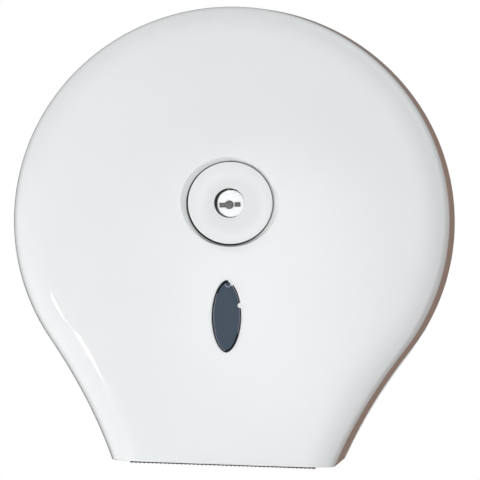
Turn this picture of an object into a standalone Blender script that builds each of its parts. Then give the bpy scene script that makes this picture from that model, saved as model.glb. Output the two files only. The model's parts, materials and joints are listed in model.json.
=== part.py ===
"""A wall dispenser for one jumbo roll of toilet paper, with a round cover that swings down.

Lengths are in metres. Every piece is modelled in the wall's frame, which one empty stands upright:
x runs to the right, y runs up the wall and z comes out of it. The origin is on the spindle's axis,
in the plane of the wall. In the names below, up is a height and out is a distance from the wall.
"""

import math

import bmesh
import bpy
from mathutils import Vector

# Clearances
SEAT_GAP = 0.0003  # between two faces that touch
RUN_GAP = 0.0004  # around or beside a piece that turns
OVERRUN = 0.004  # by which a cutter passes what it cuts, and a joined piece enters its carrier
EMBED = 0.001

# Outline of the cover's back edge: an oval, then flanks that draw in to the neck
BODY_HALF_WIDTH = 0.1332
BODY_HALF_HEIGHT = 0.1306
BODY_CENTRE_UP = -0.010
FLANK_START_ANGLE = math.radians(-35.5)
NECK_HALF_WIDTH = 0.0712
BOTTOM_UP = -0.1515
FLANK_BEND_SHARE = 0.5
FLANK_OVERRUN_SHARE = 0.45
ARC_STEPS = 18
FLANK_STEPS = 7
BOTTOM_STEPS = 6

# Cover
COVER_DEPTH = 0.122
CROWN = 0.004
DRAFT = math.radians(3)
EDGE_RADIUS = 0.018
EDGE_STEPS = 6
COVER_WALL = 0.003
FACE_STEPS = 3

# Lock, seen from the front
DISC_RADIUS = 0.0251
DISC_THICKNESS = 0.0046
DISC_SETBACK = 0.0008  # from the crown's top
DISC_CHAMFER = 0.0005
DISC_GAP = 0.0011
RECESS_RADIUS = 0.0282
RECESS_BEVEL_DEPTH = 0.002
KEY_HOLE_RADIUS = 0.0087
KEY_HOLE_LIP = 0.0027
PLUG_RADIUS = 0.0083
PLUG_SETBACK = 0.0015  # from the disc's face
PLUG_SLOT_DEPTH = 0.003
SLOT_DROP = 0.0007  # below the plug's axis
SLOT_EYE_RADIUS = 0.0025
SLOT_WING_HALF_HEIGHT = 0.0014
SLOT_LEFT_REACH = 0.0062
SLOT_RIGHT_START = 0.0030
SLOT_RIGHT_REACH = 0.0064
HOUSING_RADIUS = 0.0107
HOUSING_FLANGE_RADIUS = 0.014
HOUSING_FLANGE_THICKNESS = 0.0016
HOUSING_LENGTH = 0.0096  # behind its flange
NUT_RADIUS = 0.0145
NUT_THICKNESS = 0.004
DISC_SCREW_PLACES = 3
DISC_SCREW_CIRCLE = 0.0195
DISC_SCREW_START = math.radians(40)

# Cam, catch and tang
TANG_RADIUS = 0.0026
CAM_HALF_LENGTH = 0.010
CAM_HALF_WIDTH = 0.0046
CAM_THICKNESS = 0.002
CAM_WASHER_RADIUS = 0.0044
CAM_WASHER_THICKNESS = 0.001
STRIKE_RADIUS = 0.0195
STRIKE_THICKNESS = 0.002
STRIKE_TO_HOUSING = 0.0006
STRIKE_TO_CAM = 0.0007
STRIKE_SLOT_GAP = 0.0007
STRIKE_SLOT_DROP = 0.0045  # room for the cam to sink as the cover swings

# Window
WINDOW_UP = -0.0655
WINDOW_HALF_WIDTH = 0.0086
WINDOW_HALF_HEIGHT = 0.0210
WINDOW_POINT_SHARE = 0.56
WINDOW_STEPS = 12
WINDOW_PAD_MARGIN = 0.0075
WINDOW_PAD_DEPTH = 0.0040  # behind the cover's inner face at the crown
LENS_GAP = 0.0003
LENS_SETBACK = 0.0010
LENS_FLANGE_MARGIN = 0.0022
LENS_FLANGE_THICKNESS = 0.0018
RETAINER_THICKNESS = 0.0020
RETAINER_BAND = 0.0020  # how far the frame reaches over the lens
RETAINER_MARGIN = 0.0070

# Back plate
PLATE_THICKNESS = 0.0025
PLATE_SETBACK = 0.0004
RIM_DEPTH = 0.0115
RIM_WALL = 0.0025
RIM_GAP = 0.0007
RIM_START_RISE = 0.024  # above the hinge, where the swinging cover no longer reaches it
PAD_RADIUS = 0.036
PAD_HEIGHT = 0.0015
RIB_WIDTH = 0.002
RIB_HEIGHT = 0.004
RIB_END_GAP = 0.010
WALL_HOLE_ACROSS = 0.062
WALL_HOLE_RISE = 0.062
WALL_HOLE_RADIUS = 0.0027
WALL_HOLE_LENGTH = 0.010
KEYHOLE_RADIUS = 0.0050

# Hinge
HEEL_RADIUS = 0.0088
HEEL_GAP = 0.0007
HINGE_RISE = 0.008
PIN_RADIUS = 0.0025
PIN_HEAD_RADIUS = 0.004
PIN_HEAD_THICKNESS = 0.0016
EAR_RADIUS = 0.007
EAR_TO_FLANK = 0.0092
EAR_OUTER_FACE = NECK_HALF_WIDTH - EAR_TO_FLANK
EAR_THICKNESS = 0.0064
LUG_RADIUS = 0.0075
LUG_BITE = 0.0080  # of the pin in the lug

# Spindle
AXLE_RADIUS = 0.020
AXLE_BORE_RADIUS = 0.0133
AXLE_FLANGE_RADIUS = 0.033
AXLE_FLANGE_THICKNESS = 0.004
AXLE_SCREW_CIRCLE = 0.0272
AXLE_SCREW_PLACES = 4
GROOVE_DEPTH = 0.0014
GROOVE_WIDTH = 0.0018
GROOVE_SETBACK = 0.0024  # from the spindle's front end
RING_RADIUS = 0.0225
RING_MOUTH = 0.010

# Hub
HUB_WASHER_RADIUS = 0.0228
HUB_WASHER_THICKNESS = 0.001
HUB_WALL = 0.003
HUB_FLANGE_RADIUS = 0.036
HUB_FLANGE_THICKNESS = 0.002
HUB_COLLAR_LENGTH = 0.0024
HUB_END_GAP = 0.0008
HUB_RIBS = 6
HUB_RIB_HEIGHT = 0.0032
HUB_RIB_WIDTH = 0.003
HUB_RIB_LEAD = 0.004

# Tear bar
TEAR_TO_FLANK = 0.0292
TEAR_HALF_LENGTH = NECK_HALF_WIDTH - TEAR_TO_FLANK
TEAR_HEIGHT = 0.0105
TEAR_THICKNESS = 0.0012
TEAR_TIP_DROP = 0.0007  # below the cover's bottom edge
TOOTH_PITCH = 0.003
TOOTH_DEPTH = 0.002
TEAR_PAD_HEIGHT = 0.013
TEAR_PAD_DEPTH = 0.0006  # behind the cover's inner face at the crown's foot
TEAR_SCREW_TO_END = 0.008
TEAR_SCREW_SPACING = TEAR_HALF_LENGTH - TEAR_SCREW_TO_END
TEAR_SCREW_RISE = 0.0065

# Screws, as head radius, head height, shank radius and shank length
AXLE_SCREW = (0.00375, 0.0024, 0.0019, 0.0070)
STRIKE_SCREW = (0.0026, 0.0015, 0.0012, 0.0090)
DISC_SCREW = (0.0028, 0.0014, 0.0014, 0.0060)
CAM_SCREW = (0.0036, 0.0015, 0.0011, 0.0050)
WINDOW_SCREW = (0.0022, 0.0012, 0.0010, 0.0075)
TEAR_SCREW = (0.0024, 0.0012, 0.0011, 0.0035)
HEAD_TOP_SHARE = 0.7
HEAD_EDGE_SHARE = 0.5

# Steps round a turned piece, and how faces meet
FINE_STEPS = 48
ROUND_STEPS = 32
SCREW_STEPS = 14
SHARP_ANGLE = math.radians(35)
WELD_DISTANCE = 0.000002

# Finishes, as colour, roughness and metallic value
GLOSS_WHITE = ((0.86, 0.87, 0.86), 0.12, 0)
MATT_WHITE = ((0.80, 0.81, 0.80), 0.45, 0)
LOCK_WHITE = ((0.84, 0.84, 0.83), 0.22, 0)
BLACK = ((0.03, 0.027, 0.025), 0.35, 0)
SMOKED = ((0.07, 0.09, 0.11), 0.08, 0)
STEEL = ((0.56, 0.57, 0.58), 0.30, 1)

# Places along the axis, worked out from the front of the cover backwards
DISC_FRONT = COVER_DEPTH - DISC_SETBACK
DISC_BACK = DISC_FRONT - DISC_THICKNESS
FLOOR_FRONT = DISC_BACK - SEAT_GAP
FLOOR_BACK = FLOOR_FRONT - COVER_WALL
HOUSING_BACK = DISC_BACK - HOUSING_LENGTH
STRIKE_FRONT = HOUSING_BACK - STRIKE_TO_HOUSING
STRIKE_BACK = STRIKE_FRONT - STRIKE_THICKNESS
AXLE_FRONT = STRIKE_BACK - SEAT_GAP
CAM_FRONT = STRIKE_BACK - STRIKE_TO_CAM
CAM_BACK = CAM_FRONT - CAM_THICKNESS
PAD_FRONT = PLATE_THICKNESS + PAD_HEIGHT
FLANGE_BACK = PAD_FRONT + SEAT_GAP
FLANGE_FRONT = FLANGE_BACK + AXLE_FLANGE_THICKNESS
GROOVE_FRONT = AXLE_FRONT - GROOVE_SETBACK
GROOVE_BACK = GROOVE_FRONT - GROOVE_WIDTH
HUB_BACK = FLANGE_FRONT + SEAT_GAP + HUB_WASHER_THICKNESS + SEAT_GAP
HUB_FRONT = GROOVE_BACK - HUB_END_GAP
COVER_BACK = PLATE_THICKNESS + SEAT_GAP
HINGE_UP = BOTTOM_UP + HINGE_RISE
HINGE_OUT = PLATE_THICKNESS + HEEL_GAP + HEEL_RADIUS
WINDOW_PAD_BACK = COVER_DEPTH - COVER_WALL - WINDOW_PAD_DEPTH
TEAR_PAD_BACK = COVER_DEPTH - CROWN - COVER_WALL - TEAR_PAD_DEPTH
RECESS_INNER_RADIUS = DISC_RADIUS + DISC_GAP


def clear_scene():
    for obj in list(bpy.data.objects):
        bpy.data.objects.remove(obj)


def new_collection(name):
    collection = bpy.data.collections.new(name)
    bpy.context.scene.collection.children.link(collection)
    return collection


clear_scene()
PARTS = new_collection("jumbo_roll_dispenser")
TOOLS = new_collection("cutters_and_joined_shapes")


def add_empty(name, parent=None, at=(0, 0, 0)):
    empty = bpy.data.objects.new(name, None)
    empty.empty_display_size = AXLE_RADIUS
    PARTS.objects.link(empty)
    empty.parent = parent
    empty.location = at
    return empty


WALL_FRAME = add_empty("wall_frame")
WALL_FRAME.rotation_euler = (math.pi / 2, 0, 0)
COVER_HINGE = add_empty("cover_hinge", WALL_FRAME, (0, HINGE_UP, HINGE_OUT))
LOCK_AXIS = add_empty("lock_axis", COVER_HINGE, (0, -HINGE_UP, -HINGE_OUT))
HUB_AXIS = add_empty("hub_axis", WALL_FRAME)


def origin_of(carrier):
    """The carrier's place in the wall's frame."""
    place = Vector((0, 0, 0))
    while carrier not in (None, WALL_FRAME):
        place += carrier.location
        carrier = carrier.parent
    return place


def place(obj, carrier, at=(0, 0, 0)):
    """Parents a piece and sets where its own origin lies in the wall's frame."""
    obj.parent = carrier
    obj.location = Vector(at) - origin_of(carrier)
    return obj


def add_mesh(name, mesh, carrier, at=(0, 0, 0), finish=None):
    """A finished piece, or with no finish a shape that another piece is cut by or joined with."""
    obj = bpy.data.objects.new(name, mesh)
    if finish is None:
        TOOLS.objects.link(obj)
        obj.hide_render = True
        obj.display_type = "WIRE"
    else:
        PARTS.objects.link(obj)
        paint(obj, finish)
    return place(obj, carrier, at)


def paint(obj, finish):
    colour, roughness, metallic = finish
    material = bpy.data.materials.new(obj.name)
    material.use_nodes = True
    shader = material.node_tree.nodes["Principled BSDF"]
    shader.inputs["Base Color"].default_value = (*colour, 1)
    shader.inputs["Roughness"].default_value = roughness
    shader.inputs["Metallic"].default_value = metallic
    material.diffuse_color = (*colour, 1)
    obj.data.materials.append(material)


def smooth(mesh):
    mesh.shade_smooth()
    mesh.set_sharp_from_angle(angle=SHARP_ANGLE)


def flat_mesh(name, outlines, back, front):
    """A flat outline, with any holes as further outlines, from one distance to another."""
    curve = bpy.data.curves.new(name, "CURVE")
    curve.dimensions = "2D"
    curve.fill_mode = "BOTH"
    curve.extrude = (front - back) / 2
    for outline in outlines:
        spline = curve.splines.new("POLY")
        spline.points.add(len(outline) - 1)
        for point, corner in zip(spline.points, outline):
            point.co = (corner[0], corner[1], 0, 1)
        spline.use_cyclic_u = True
    holder = bpy.data.objects.new(name, curve)
    bpy.context.scene.collection.objects.link(holder)
    graph = bpy.context.evaluated_depsgraph_get()
    mesh = bpy.data.meshes.new_from_object(holder.evaluated_get(graph))
    bpy.data.objects.remove(holder)
    bpy.data.curves.remove(curve)
    shape = bmesh.new()
    shape.from_mesh(mesh)
    bmesh.ops.remove_doubles(shape, verts=shape.verts, dist=WELD_DISTANCE)
    bmesh.ops.translate(shape, verts=shape.verts, vec=(0, 0, (front + back) / 2))
    bmesh.ops.recalc_face_normals(shape, faces=shape.faces)
    shape.to_mesh(mesh)
    shape.free()
    smooth(mesh)
    return mesh


def turned(name, profile, carrier, finish=None, closed=False, steps=ROUND_STEPS, at=(0, 0, 0)):
    """A piece turned about z from (radius, out) pairs that run down its outer side."""
    mesh = bpy.data.meshes.new(name)
    points = [(radius, 0, out) for radius, out in profile]
    edges = [(index, index + 1) for index in range(len(points) - 1)]
    if closed:
        edges.append((len(points) - 1, 0))
    mesh.from_pydata(points, edges, [])
    obj = add_mesh(name, mesh, carrier, at, finish)
    screw = obj.modifiers.new("turn", "SCREW")
    screw.axis = "Z"
    screw.steps = steps
    screw.render_steps = steps
    screw.use_merge_vertices = True
    screw.merge_threshold = WELD_DISTANCE
    screw.use_smooth_shade = False
    return obj


def tube_profile(inner, outer, back, front):
    return [(outer, front), (outer, back), (inner, back), (inner, front)]


def box_mesh(name, low, high):
    shape = bmesh.new()
    bmesh.ops.create_cube(shape, size=1)
    for vert in shape.verts:
        for axis in range(3):
            vert.co[axis] = low[axis] if vert.co[axis] < 0 else high[axis]
    mesh = bpy.data.meshes.new(name)
    shape.to_mesh(mesh)
    shape.free()
    return mesh


def rods_mesh(name, centres, radius, back, front, steps=SCREW_STEPS):
    """One mesh of several rods along z."""
    shape = bmesh.new()
    for across, up in centres:
        made = bmesh.ops.create_cone(
            shape,
            cap_ends=True,
            segments=steps,
            radius1=radius,
            radius2=radius,
            depth=front - back,
        )
        bmesh.ops.translate(shape, verts=made["verts"], vec=(across, up, (front + back) / 2))
    mesh = bpy.data.meshes.new(name)
    shape.to_mesh(mesh)
    shape.free()
    return mesh


def cross_rods_mesh(name, spans, radius, steps=ROUND_STEPS):
    """One mesh of several rods along x, on the hinge's line."""
    shape = bmesh.new()
    for start, end in spans:
        made = bmesh.ops.create_cone(
            shape,
            cap_ends=True,
            segments=steps,
            radius1=radius,
            radius2=radius,
            depth=abs(end - start),
        )
        for vert in made["verts"]:
            vert.co = (vert.co.z + (start + end) / 2, vert.co.y + HINGE_UP, HINGE_OUT - vert.co.x)
    mesh = bpy.data.meshes.new(name)
    shape.to_mesh(mesh)
    shape.free()
    return mesh


def change(obj, tool, operation):
    boolean = obj.modifiers.new(tool.name, "BOOLEAN")
    boolean.operation = operation
    boolean.object = tool
    boolean.solver = "EXACT"


def cut(obj, mesh):
    change(obj, add_mesh(mesh.name, mesh, obj.parent), "DIFFERENCE")


def join(obj, mesh):
    change(obj, add_mesh(mesh.name, mesh, obj.parent), "UNION")


def circle(radius, centre=(0, 0), steps=ROUND_STEPS):
    turns = [2 * math.pi * step / steps for step in range(steps)]
    return [(centre[0] + radius * math.cos(t), centre[1] + radius * math.sin(t)) for t in turns]


def places_on_circle(radius, count, start):
    turns = [start + 2 * math.pi * step / count for step in range(count)]
    return [(radius * math.cos(turn), radius * math.sin(turn)) for turn in turns]


def outline_half(inset):
    """The outline's right half from the top down past the bottom, drawn in by the inset."""
    points = []
    sweep = FLANK_START_ANGLE - math.pi / 2
    for step in range(ARC_STEPS + 1):
        angle = math.pi / 2 + sweep * step / ARC_STEPS
        wide = math.cos(angle)
        tall = math.sin(angle)
        start = Vector((BODY_HALF_WIDTH * wide, BODY_CENTRE_UP + BODY_HALF_HEIGHT * tall))
        normal = Vector((wide / BODY_HALF_WIDTH, tall / BODY_HALF_HEIGHT)).normalized()
        points.append(start - normal * inset)
    end = Vector((NECK_HALF_WIDTH, BOTTOM_UP))
    drop = start.y - end.y
    lean = normal.y / normal.x
    bend = start + Vector((lean, -1)) * drop * FLANK_BEND_SHARE
    for step in range(1, FLANK_STEPS + 1):
        share = (1 + FLANK_OVERRUN_SHARE) * step / FLANK_STEPS
        on_curve = start * (1 - share) ** 2 + bend * 2 * share * (1 - share) + end * share**2
        along = (bend - start) * (1 - share) + (end - bend) * share
        normal = Vector((-along.y, along.x)).normalized()
        points.append(on_curve - normal * inset)
    return points


def outline_ring(inset):
    """The closed outline: up the left side, over the top, down the right and back below."""
    right = outline_half(inset)
    left = [Vector((-point.x, point.y)) for point in reversed(right[1:])]
    ring = left + right
    for step in range(1, BOTTOM_STEPS):
        ring.append(right[-1].lerp(left[0], step / BOTTOM_STEPS))
    return ring


def half_width_at(up, inset):
    """How far the outline stands from the middle at a height on the flank."""
    points = outline_half(inset)
    for above, below in zip(points, points[1:]):
        if below.y <= up <= above.y:
            return below.lerp(above, (up - below.y) / (above.y - below.y)).x
    return points[-1].x


def outline_above(inset, floor):
    """The outline cut off flat at a height, as a closed list of corners."""
    right = [point for point in outline_half(inset) if point.y > floor]
    right.append(Vector((half_width_at(floor, inset), floor)))
    left = [Vector((-point.x, point.y)) for point in reversed(right[1:])]
    return left + right


def edge_section():
    """The cover's side and rounded front edge, as (inset, out) pairs from the back forwards."""
    crown_slope = math.atan(2 * CROWN / (BODY_HALF_WIDTH - EDGE_RADIUS))
    centre_out = COVER_DEPTH - CROWN - EDGE_RADIUS * math.cos(crown_slope)
    side_end = centre_out + EDGE_RADIUS * math.sin(DRAFT)
    centre_inset = side_end * math.tan(DRAFT) + EDGE_RADIUS * math.cos(DRAFT)
    start = COVER_BACK - OVERRUN
    section = [(start * math.tan(DRAFT), start)]
    sweep = math.pi / 2 - crown_slope - DRAFT
    for step in range(EDGE_STEPS + 1):
        angle = DRAFT + sweep * step / EDGE_STEPS
        inset = centre_inset - EDGE_RADIUS * math.cos(angle)
        section.append((inset, centre_out + EDGE_RADIUS * math.sin(angle)))
    return section


def cover_rows():
    """Rings of points from the cover's back edge to the hole for the lock, the side's rings open below."""
    rows = []
    for inset, out in edge_section():
        rows.append([Vector((point.x, point.y, out)) for point in outline_ring(inset)])
    edge = rows[-1]
    right_foot = len(edge) - BOTTOM_STEPS
    rows = [row[: right_foot + 1] for row in rows[:-1]] + [edge]
    for step in range(1, FACE_STEPS + 1):
        row = []
        for point in edge:
            ray = Vector((point.x, point.y))
            distance = ray.length + (RECESS_RADIUS - ray.length) * step / FACE_STEPS
            reach = distance / ray.length
            row.append(Vector((point.x * reach, point.y * reach, COVER_DEPTH - CROWN * reach**2)))
        rows.append(row)
    recess = [
        (RECESS_INNER_RADIUS, COVER_DEPTH - RECESS_BEVEL_DEPTH),
        (RECESS_INNER_RADIUS, FLOOR_FRONT),
        (HOUSING_RADIUS + SEAT_GAP, FLOOR_FRONT),
    ]
    for radius, out in recess:
        row = []
        for point in edge:
            ray = Vector((point.x, point.y)).normalized() * radius
            row.append(Vector((ray.x, ray.y, out)))
        rows.append(row)
    return rows


def loft_mesh(name, rows):
    """A surface through rings, facing out. Rings shorter than the last one are open."""
    shape = bmesh.new()
    rings = [[shape.verts.new(point) for point in row] for row in rows]
    for back, front in zip(rings, rings[1:]):
        closed = len(back) == len(rings[-1])
        for index in range(len(back) if closed else len(back) - 1):
            after = (index + 1) % len(back)
            shape.faces.new((back[index], front[index], front[after], back[after]))
    mesh = bpy.data.meshes.new(name)
    shape.to_mesh(mesh)
    shape.free()
    smooth(mesh)
    return mesh


def window_outline(margin):
    """The window's upright lens shape, widened all round by a margin."""
    half_width = WINDOW_HALF_WIDTH + margin
    half_height = WINDOW_HALF_HEIGHT + margin
    right = []
    for step in range(WINDOW_STEPS + 1):
        share = math.cos(math.pi * step / WINDOW_STEPS)
        across = half_width * max(0, 1 - share**2) ** WINDOW_POINT_SHARE
        right.append((across, WINDOW_UP + half_height * share))
    left = [(-across, up) for across, up in reversed(right[1:-1])]
    return right + left


def lug_mesh(side):
    """A boss round the hinge pin, whose outer end follows the cover's slanting side."""
    inner_face = EAR_OUTER_FACE + SEAT_GAP
    mesh = cross_rods_mesh("lug_shape", [(inner_face, NECK_HALF_WIDTH)], LUG_RADIUS)
    for vert in mesh.vertices:
        if vert.co.x > (inner_face + NECK_HALF_WIDTH) / 2:
            inset = vert.co.z * math.tan(DRAFT) + COVER_WALL / 2
            vert.co.x = half_width_at(vert.co.y, inset)
    if side < 0:
        mesh.transform(((-1, 0, 0, 0), (0, 1, 0, 0), (0, 0, 1, 0), (0, 0, 0, 1)))
        mesh.flip_normals()
    return mesh


def heel_mesh():
    """What is cut from the cover below and behind the hinge, so that it swings clear of the plate."""
    outline = []
    for step in range(EDGE_STEPS + 1):
        angle = math.pi + math.pi / 2 * step / EDGE_STEPS
        outline.append(
            (HINGE_OUT + HEEL_RADIUS * math.cos(angle), HINGE_UP + HEEL_RADIUS * math.sin(angle))
        )
    far = HEEL_RADIUS + OVERRUN
    outline.append((HINGE_OUT, HINGE_UP - far))
    outline.append((HINGE_OUT - far, HINGE_UP - far))
    outline.append((HINGE_OUT - far, HINGE_UP))
    mesh = flat_mesh("heel_cut", [outline], -BODY_HALF_WIDTH, BODY_HALF_WIDTH)
    for vert in mesh.vertices:
        vert.co = (-vert.co.z, vert.co.y, vert.co.x)
    return mesh


def make_cover():
    surface = loft_mesh("cover_shell", cover_rows())
    cover = add_mesh("cover_shell", surface, COVER_HINGE, (0, 0, 0), GLOSS_WHITE)
    wall = cover.modifiers.new("wall", "SOLIDIFY")
    wall.thickness = COVER_WALL
    wall.offset = -1
    wall.use_even_offset = True
    wide = BODY_HALF_WIDTH + OVERRUN
    tall = BODY_HALF_HEIGHT - BOTTOM_UP
    past = COVER_DEPTH + OVERRUN
    cut(cover, box_mesh("back_trim", (-wide, -tall, -COVER_DEPTH), (wide, tall, COVER_BACK)))
    cut(cover, box_mesh("bottom_trim", (-wide, -tall, -OVERRUN), (wide, BOTTOM_UP, past)))
    cut(cover, heel_mesh())
    inside = COVER_DEPTH - COVER_WALL
    join(cover, flat_mesh("window_pad", [window_outline(WINDOW_PAD_MARGIN)], WINDOW_PAD_BACK, inside))
    tear_pad = box_mesh(
        "tear_pad",
        (-TEAR_HALF_LENGTH, BOTTOM_UP + EMBED, TEAR_PAD_BACK),
        (TEAR_HALF_LENGTH, BOTTOM_UP + TEAR_PAD_HEIGHT, COVER_DEPTH - CROWN - EMBED),
    )
    join(cover, tear_pad)
    for side in (-1, 1):
        join(cover, lug_mesh(side))
    window = flat_mesh("window_cut", [window_outline(0)], WINDOW_PAD_BACK - OVERRUN, past)
    cut(cover, window)
    hole_end = EAR_OUTER_FACE + LUG_BITE + RUN_GAP
    spans = [(side * (EAR_OUTER_FACE - OVERRUN), side * hole_end) for side in (-1, 1)]
    cut(cover, cross_rods_mesh("pin_holes", spans, PIN_RADIUS + RUN_GAP))
    floor = (FLOOR_BACK - OVERRUN, FLOOR_FRONT + OVERRUN)
    drill(cover, "disc_screw_holes", disc_screw_places(), DISC_SCREW, *floor)
    pad_hole = (WINDOW_PAD_BACK - OVERRUN, screw_reach(WINDOW_SCREW, window_screw_head()))
    drill(cover, "window_screw_holes", window_screw_places(), WINDOW_SCREW, *pad_hole)
    tear_hole = (TEAR_PAD_BACK - OVERRUN, screw_reach(TEAR_SCREW, tear_screw_head()))
    drill(cover, "tear_screw_holes", tear_screw_places(), TEAR_SCREW, *tear_hole)


def screw_reach(screw, head_face):
    """Where a hole ends that a screw enters from behind."""
    return head_face + screw[3] + SEAT_GAP


def drill(obj, name, places, screw, back, front):
    cut(obj, rods_mesh(name, places, screw[2] + SEAT_GAP, back, front))


def disc_screw_places():
    return places_on_circle(DISC_SCREW_CIRCLE, DISC_SCREW_PLACES, DISC_SCREW_START)


def window_screw_places():
    rise = WINDOW_HALF_HEIGHT + (WINDOW_PAD_MARGIN + LENS_FLANGE_MARGIN) / 2
    return [(0, WINDOW_UP + rise), (0, WINDOW_UP - rise)]


def tear_screw_places():
    return [(TEAR_SCREW_SPACING * step, BOTTOM_UP + TEAR_SCREW_RISE) for step in (-1, 0, 1)]


def retainer_front():
    return WINDOW_PAD_BACK - SEAT_GAP - LENS_FLANGE_THICKNESS - SEAT_GAP


def window_screw_head():
    return retainer_front() - RETAINER_THICKNESS - SEAT_GAP


def tear_screw_head():
    return TEAR_PAD_BACK - SEAT_GAP - TEAR_THICKNESS - SEAT_GAP


def add_screw(name, screw, carrier, place_on_face, face, forwards):
    """A screw whose head lies on a face and whose shank goes forwards or back into it."""
    head_radius, head_height, shank_radius, length = screw
    way = 1 if forwards else -1
    profile = [
        (0, -head_height),
        (head_radius * HEAD_TOP_SHARE, -head_height),
        (head_radius, -head_height * HEAD_EDGE_SHARE),
        (head_radius, 0),
        (shank_radius, 0),
        (shank_radius, length),
        (0, length),
    ]
    points = [(radius, face + way * out) for radius, out in profile]
    if forwards:
        points.reverse()
    return turned(name, points, carrier, STEEL, steps=SCREW_STEPS, at=(*place_on_face, 0))


def make_window():
    lens_outline = window_outline(-LENS_GAP)
    flange_outline = window_outline(LENS_FLANGE_MARGIN)
    flange_front = WINDOW_PAD_BACK - SEAT_GAP
    reach = abs(WINDOW_UP) / (BODY_HALF_HEIGHT - BODY_CENTRE_UP)
    lens_front = COVER_DEPTH - CROWN * reach**2 - LENS_SETBACK
    flange = flat_mesh("lens_flange", [flange_outline], flange_front - LENS_FLANGE_THICKNESS, flange_front)
    lens = add_mesh("window_lens", flange, COVER_HINGE, (0, 0, 0), SMOKED)
    join(lens, flat_mesh("lens_front", [lens_outline], flange_front - EMBED, lens_front))
    front = retainer_front()
    rim = window_outline(RETAINER_MARGIN)
    mouth = window_outline(LENS_FLANGE_MARGIN - RETAINER_BAND)
    holes = [circle(WINDOW_SCREW[2] + SEAT_GAP, at, SCREW_STEPS) for at in window_screw_places()]
    frame = flat_mesh("window_retainer", [rim, mouth, *holes], front - RETAINER_THICKNESS, front)
    add_mesh("window_retainer", frame, COVER_HINGE, (0, 0, 0), MATT_WHITE)
    for number, at in enumerate(window_screw_places(), 1):
        add_screw(f"window_screw_{number}", WINDOW_SCREW, COVER_HINGE, at, window_screw_head(), True)


def make_lock_disc():
    inner = HOUSING_FLANGE_RADIUS + SEAT_GAP
    lip_back = DISC_FRONT - KEY_HOLE_LIP
    profile = [
        (KEY_HOLE_RADIUS, DISC_FRONT),
        (DISC_RADIUS - DISC_CHAMFER, DISC_FRONT),
        (DISC_RADIUS, DISC_FRONT - DISC_CHAMFER),
        (DISC_RADIUS, DISC_BACK),
        (inner, DISC_BACK),
        (inner, lip_back),
        (KEY_HOLE_RADIUS, lip_back),
    ]
    disc = turned("lock_disc", profile, COVER_HINGE, GLOSS_WHITE, True, FINE_STEPS)
    face = FLOOR_BACK - SEAT_GAP
    socket = (DISC_BACK - OVERRUN, screw_reach(DISC_SCREW, face))
    drill(disc, "disc_screw_sockets", disc_screw_places(), DISC_SCREW, *socket)
    for number, at in enumerate(disc_screw_places(), 1):
        add_screw(f"disc_screw_{number}", DISC_SCREW, COVER_HINGE, at, face, True)


def make_housing():
    bore = PLUG_RADIUS + RUN_GAP
    flange_front = DISC_BACK + HOUSING_FLANGE_THICKNESS
    profile = [
        (bore, flange_front),
        (HOUSING_FLANGE_RADIUS, flange_front),
        (HOUSING_FLANGE_RADIUS, DISC_BACK),
        (HOUSING_RADIUS, DISC_BACK),
        (HOUSING_RADIUS, HOUSING_BACK),
        (bore, HOUSING_BACK),
    ]
    turned("lock_housing", profile, COVER_HINGE, BLACK, True, FINE_STEPS)
    nut_front = FLOOR_BACK - SEAT_GAP
    hexagon = circle(NUT_RADIUS, steps=6)
    bore_circle = circle(HOUSING_RADIUS + SEAT_GAP)
    nut = flat_mesh("lock_nut", [hexagon, bore_circle], nut_front - NUT_THICKNESS, nut_front)
    add_mesh("lock_nut", nut, COVER_HINGE, (0, 0, 0), MATT_WHITE)


def make_plug():
    front = DISC_FRONT - PLUG_SETBACK
    back = HOUSING_BACK
    tang_end = CAM_BACK - SEAT_GAP
    profile = [
        (0, front),
        (PLUG_RADIUS, front),
        (PLUG_RADIUS, back),
        (TANG_RADIUS, back),
        (TANG_RADIUS, tang_end),
        (0, tang_end),
    ]
    plug = turned("lock_plug", profile, LOCK_AXIS, LOCK_WHITE, steps=FINE_STEPS)
    low = front - PLUG_SLOT_DEPTH
    high = front + OVERRUN
    cut(plug, rods_mesh("key_eye", [(0, -SLOT_DROP)], SLOT_EYE_RADIUS, low, high))
    bottom = -SLOT_DROP - SLOT_WING_HALF_HEIGHT
    top = -SLOT_DROP + SLOT_WING_HALF_HEIGHT
    cut(plug, box_mesh("key_left_wing", (-SLOT_LEFT_REACH, bottom, low), (0, top, high)))
    cut(plug, box_mesh("key_right_wing", (SLOT_RIGHT_START, bottom, low), (SLOT_RIGHT_REACH, top, high)))
    head_face = tang_end - SEAT_GAP - CAM_WASHER_THICKNESS - SEAT_GAP
    tang_hole = (tang_end - OVERRUN, screw_reach(CAM_SCREW, head_face))
    drill(plug, "cam_screw_hole", [(0, 0)], CAM_SCREW, *tang_hole)
    hole = circle(TANG_RADIUS + SEAT_GAP, steps=SCREW_STEPS)
    end = CAM_HALF_LENGTH
    side = CAM_HALF_WIDTH
    corner = CAM_THICKNESS / 2
    blade = []
    for across, up in ((1, 1), (-1, 1), (-1, -1), (1, -1)):
        near = (across * side, up * (end - corner))
        far = (across * (side - corner), up * end)
        blade.extend((near, far) if across == up else (far, near))
    cam = flat_mesh("lock_cam", [blade, hole], CAM_BACK, CAM_FRONT)
    add_mesh("lock_cam", cam, LOCK_AXIS, (0, 0, 0), STEEL)
    washer_front = tang_end - SEAT_GAP
    washer_back = washer_front - CAM_WASHER_THICKNESS
    washer = tube_profile(CAM_SCREW[2] + SEAT_GAP, CAM_WASHER_RADIUS, washer_back, washer_front)
    turned("cam_washer", washer, LOCK_AXIS, STEEL, True, SCREW_STEPS)
    add_screw("cam_screw", CAM_SCREW, LOCK_AXIS, (0, 0), head_face, True)


def strike_screw_places():
    circle_radius = (AXLE_RADIUS + AXLE_BORE_RADIUS) / 2
    return [(circle_radius, 0), (-circle_radius, 0)]


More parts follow.
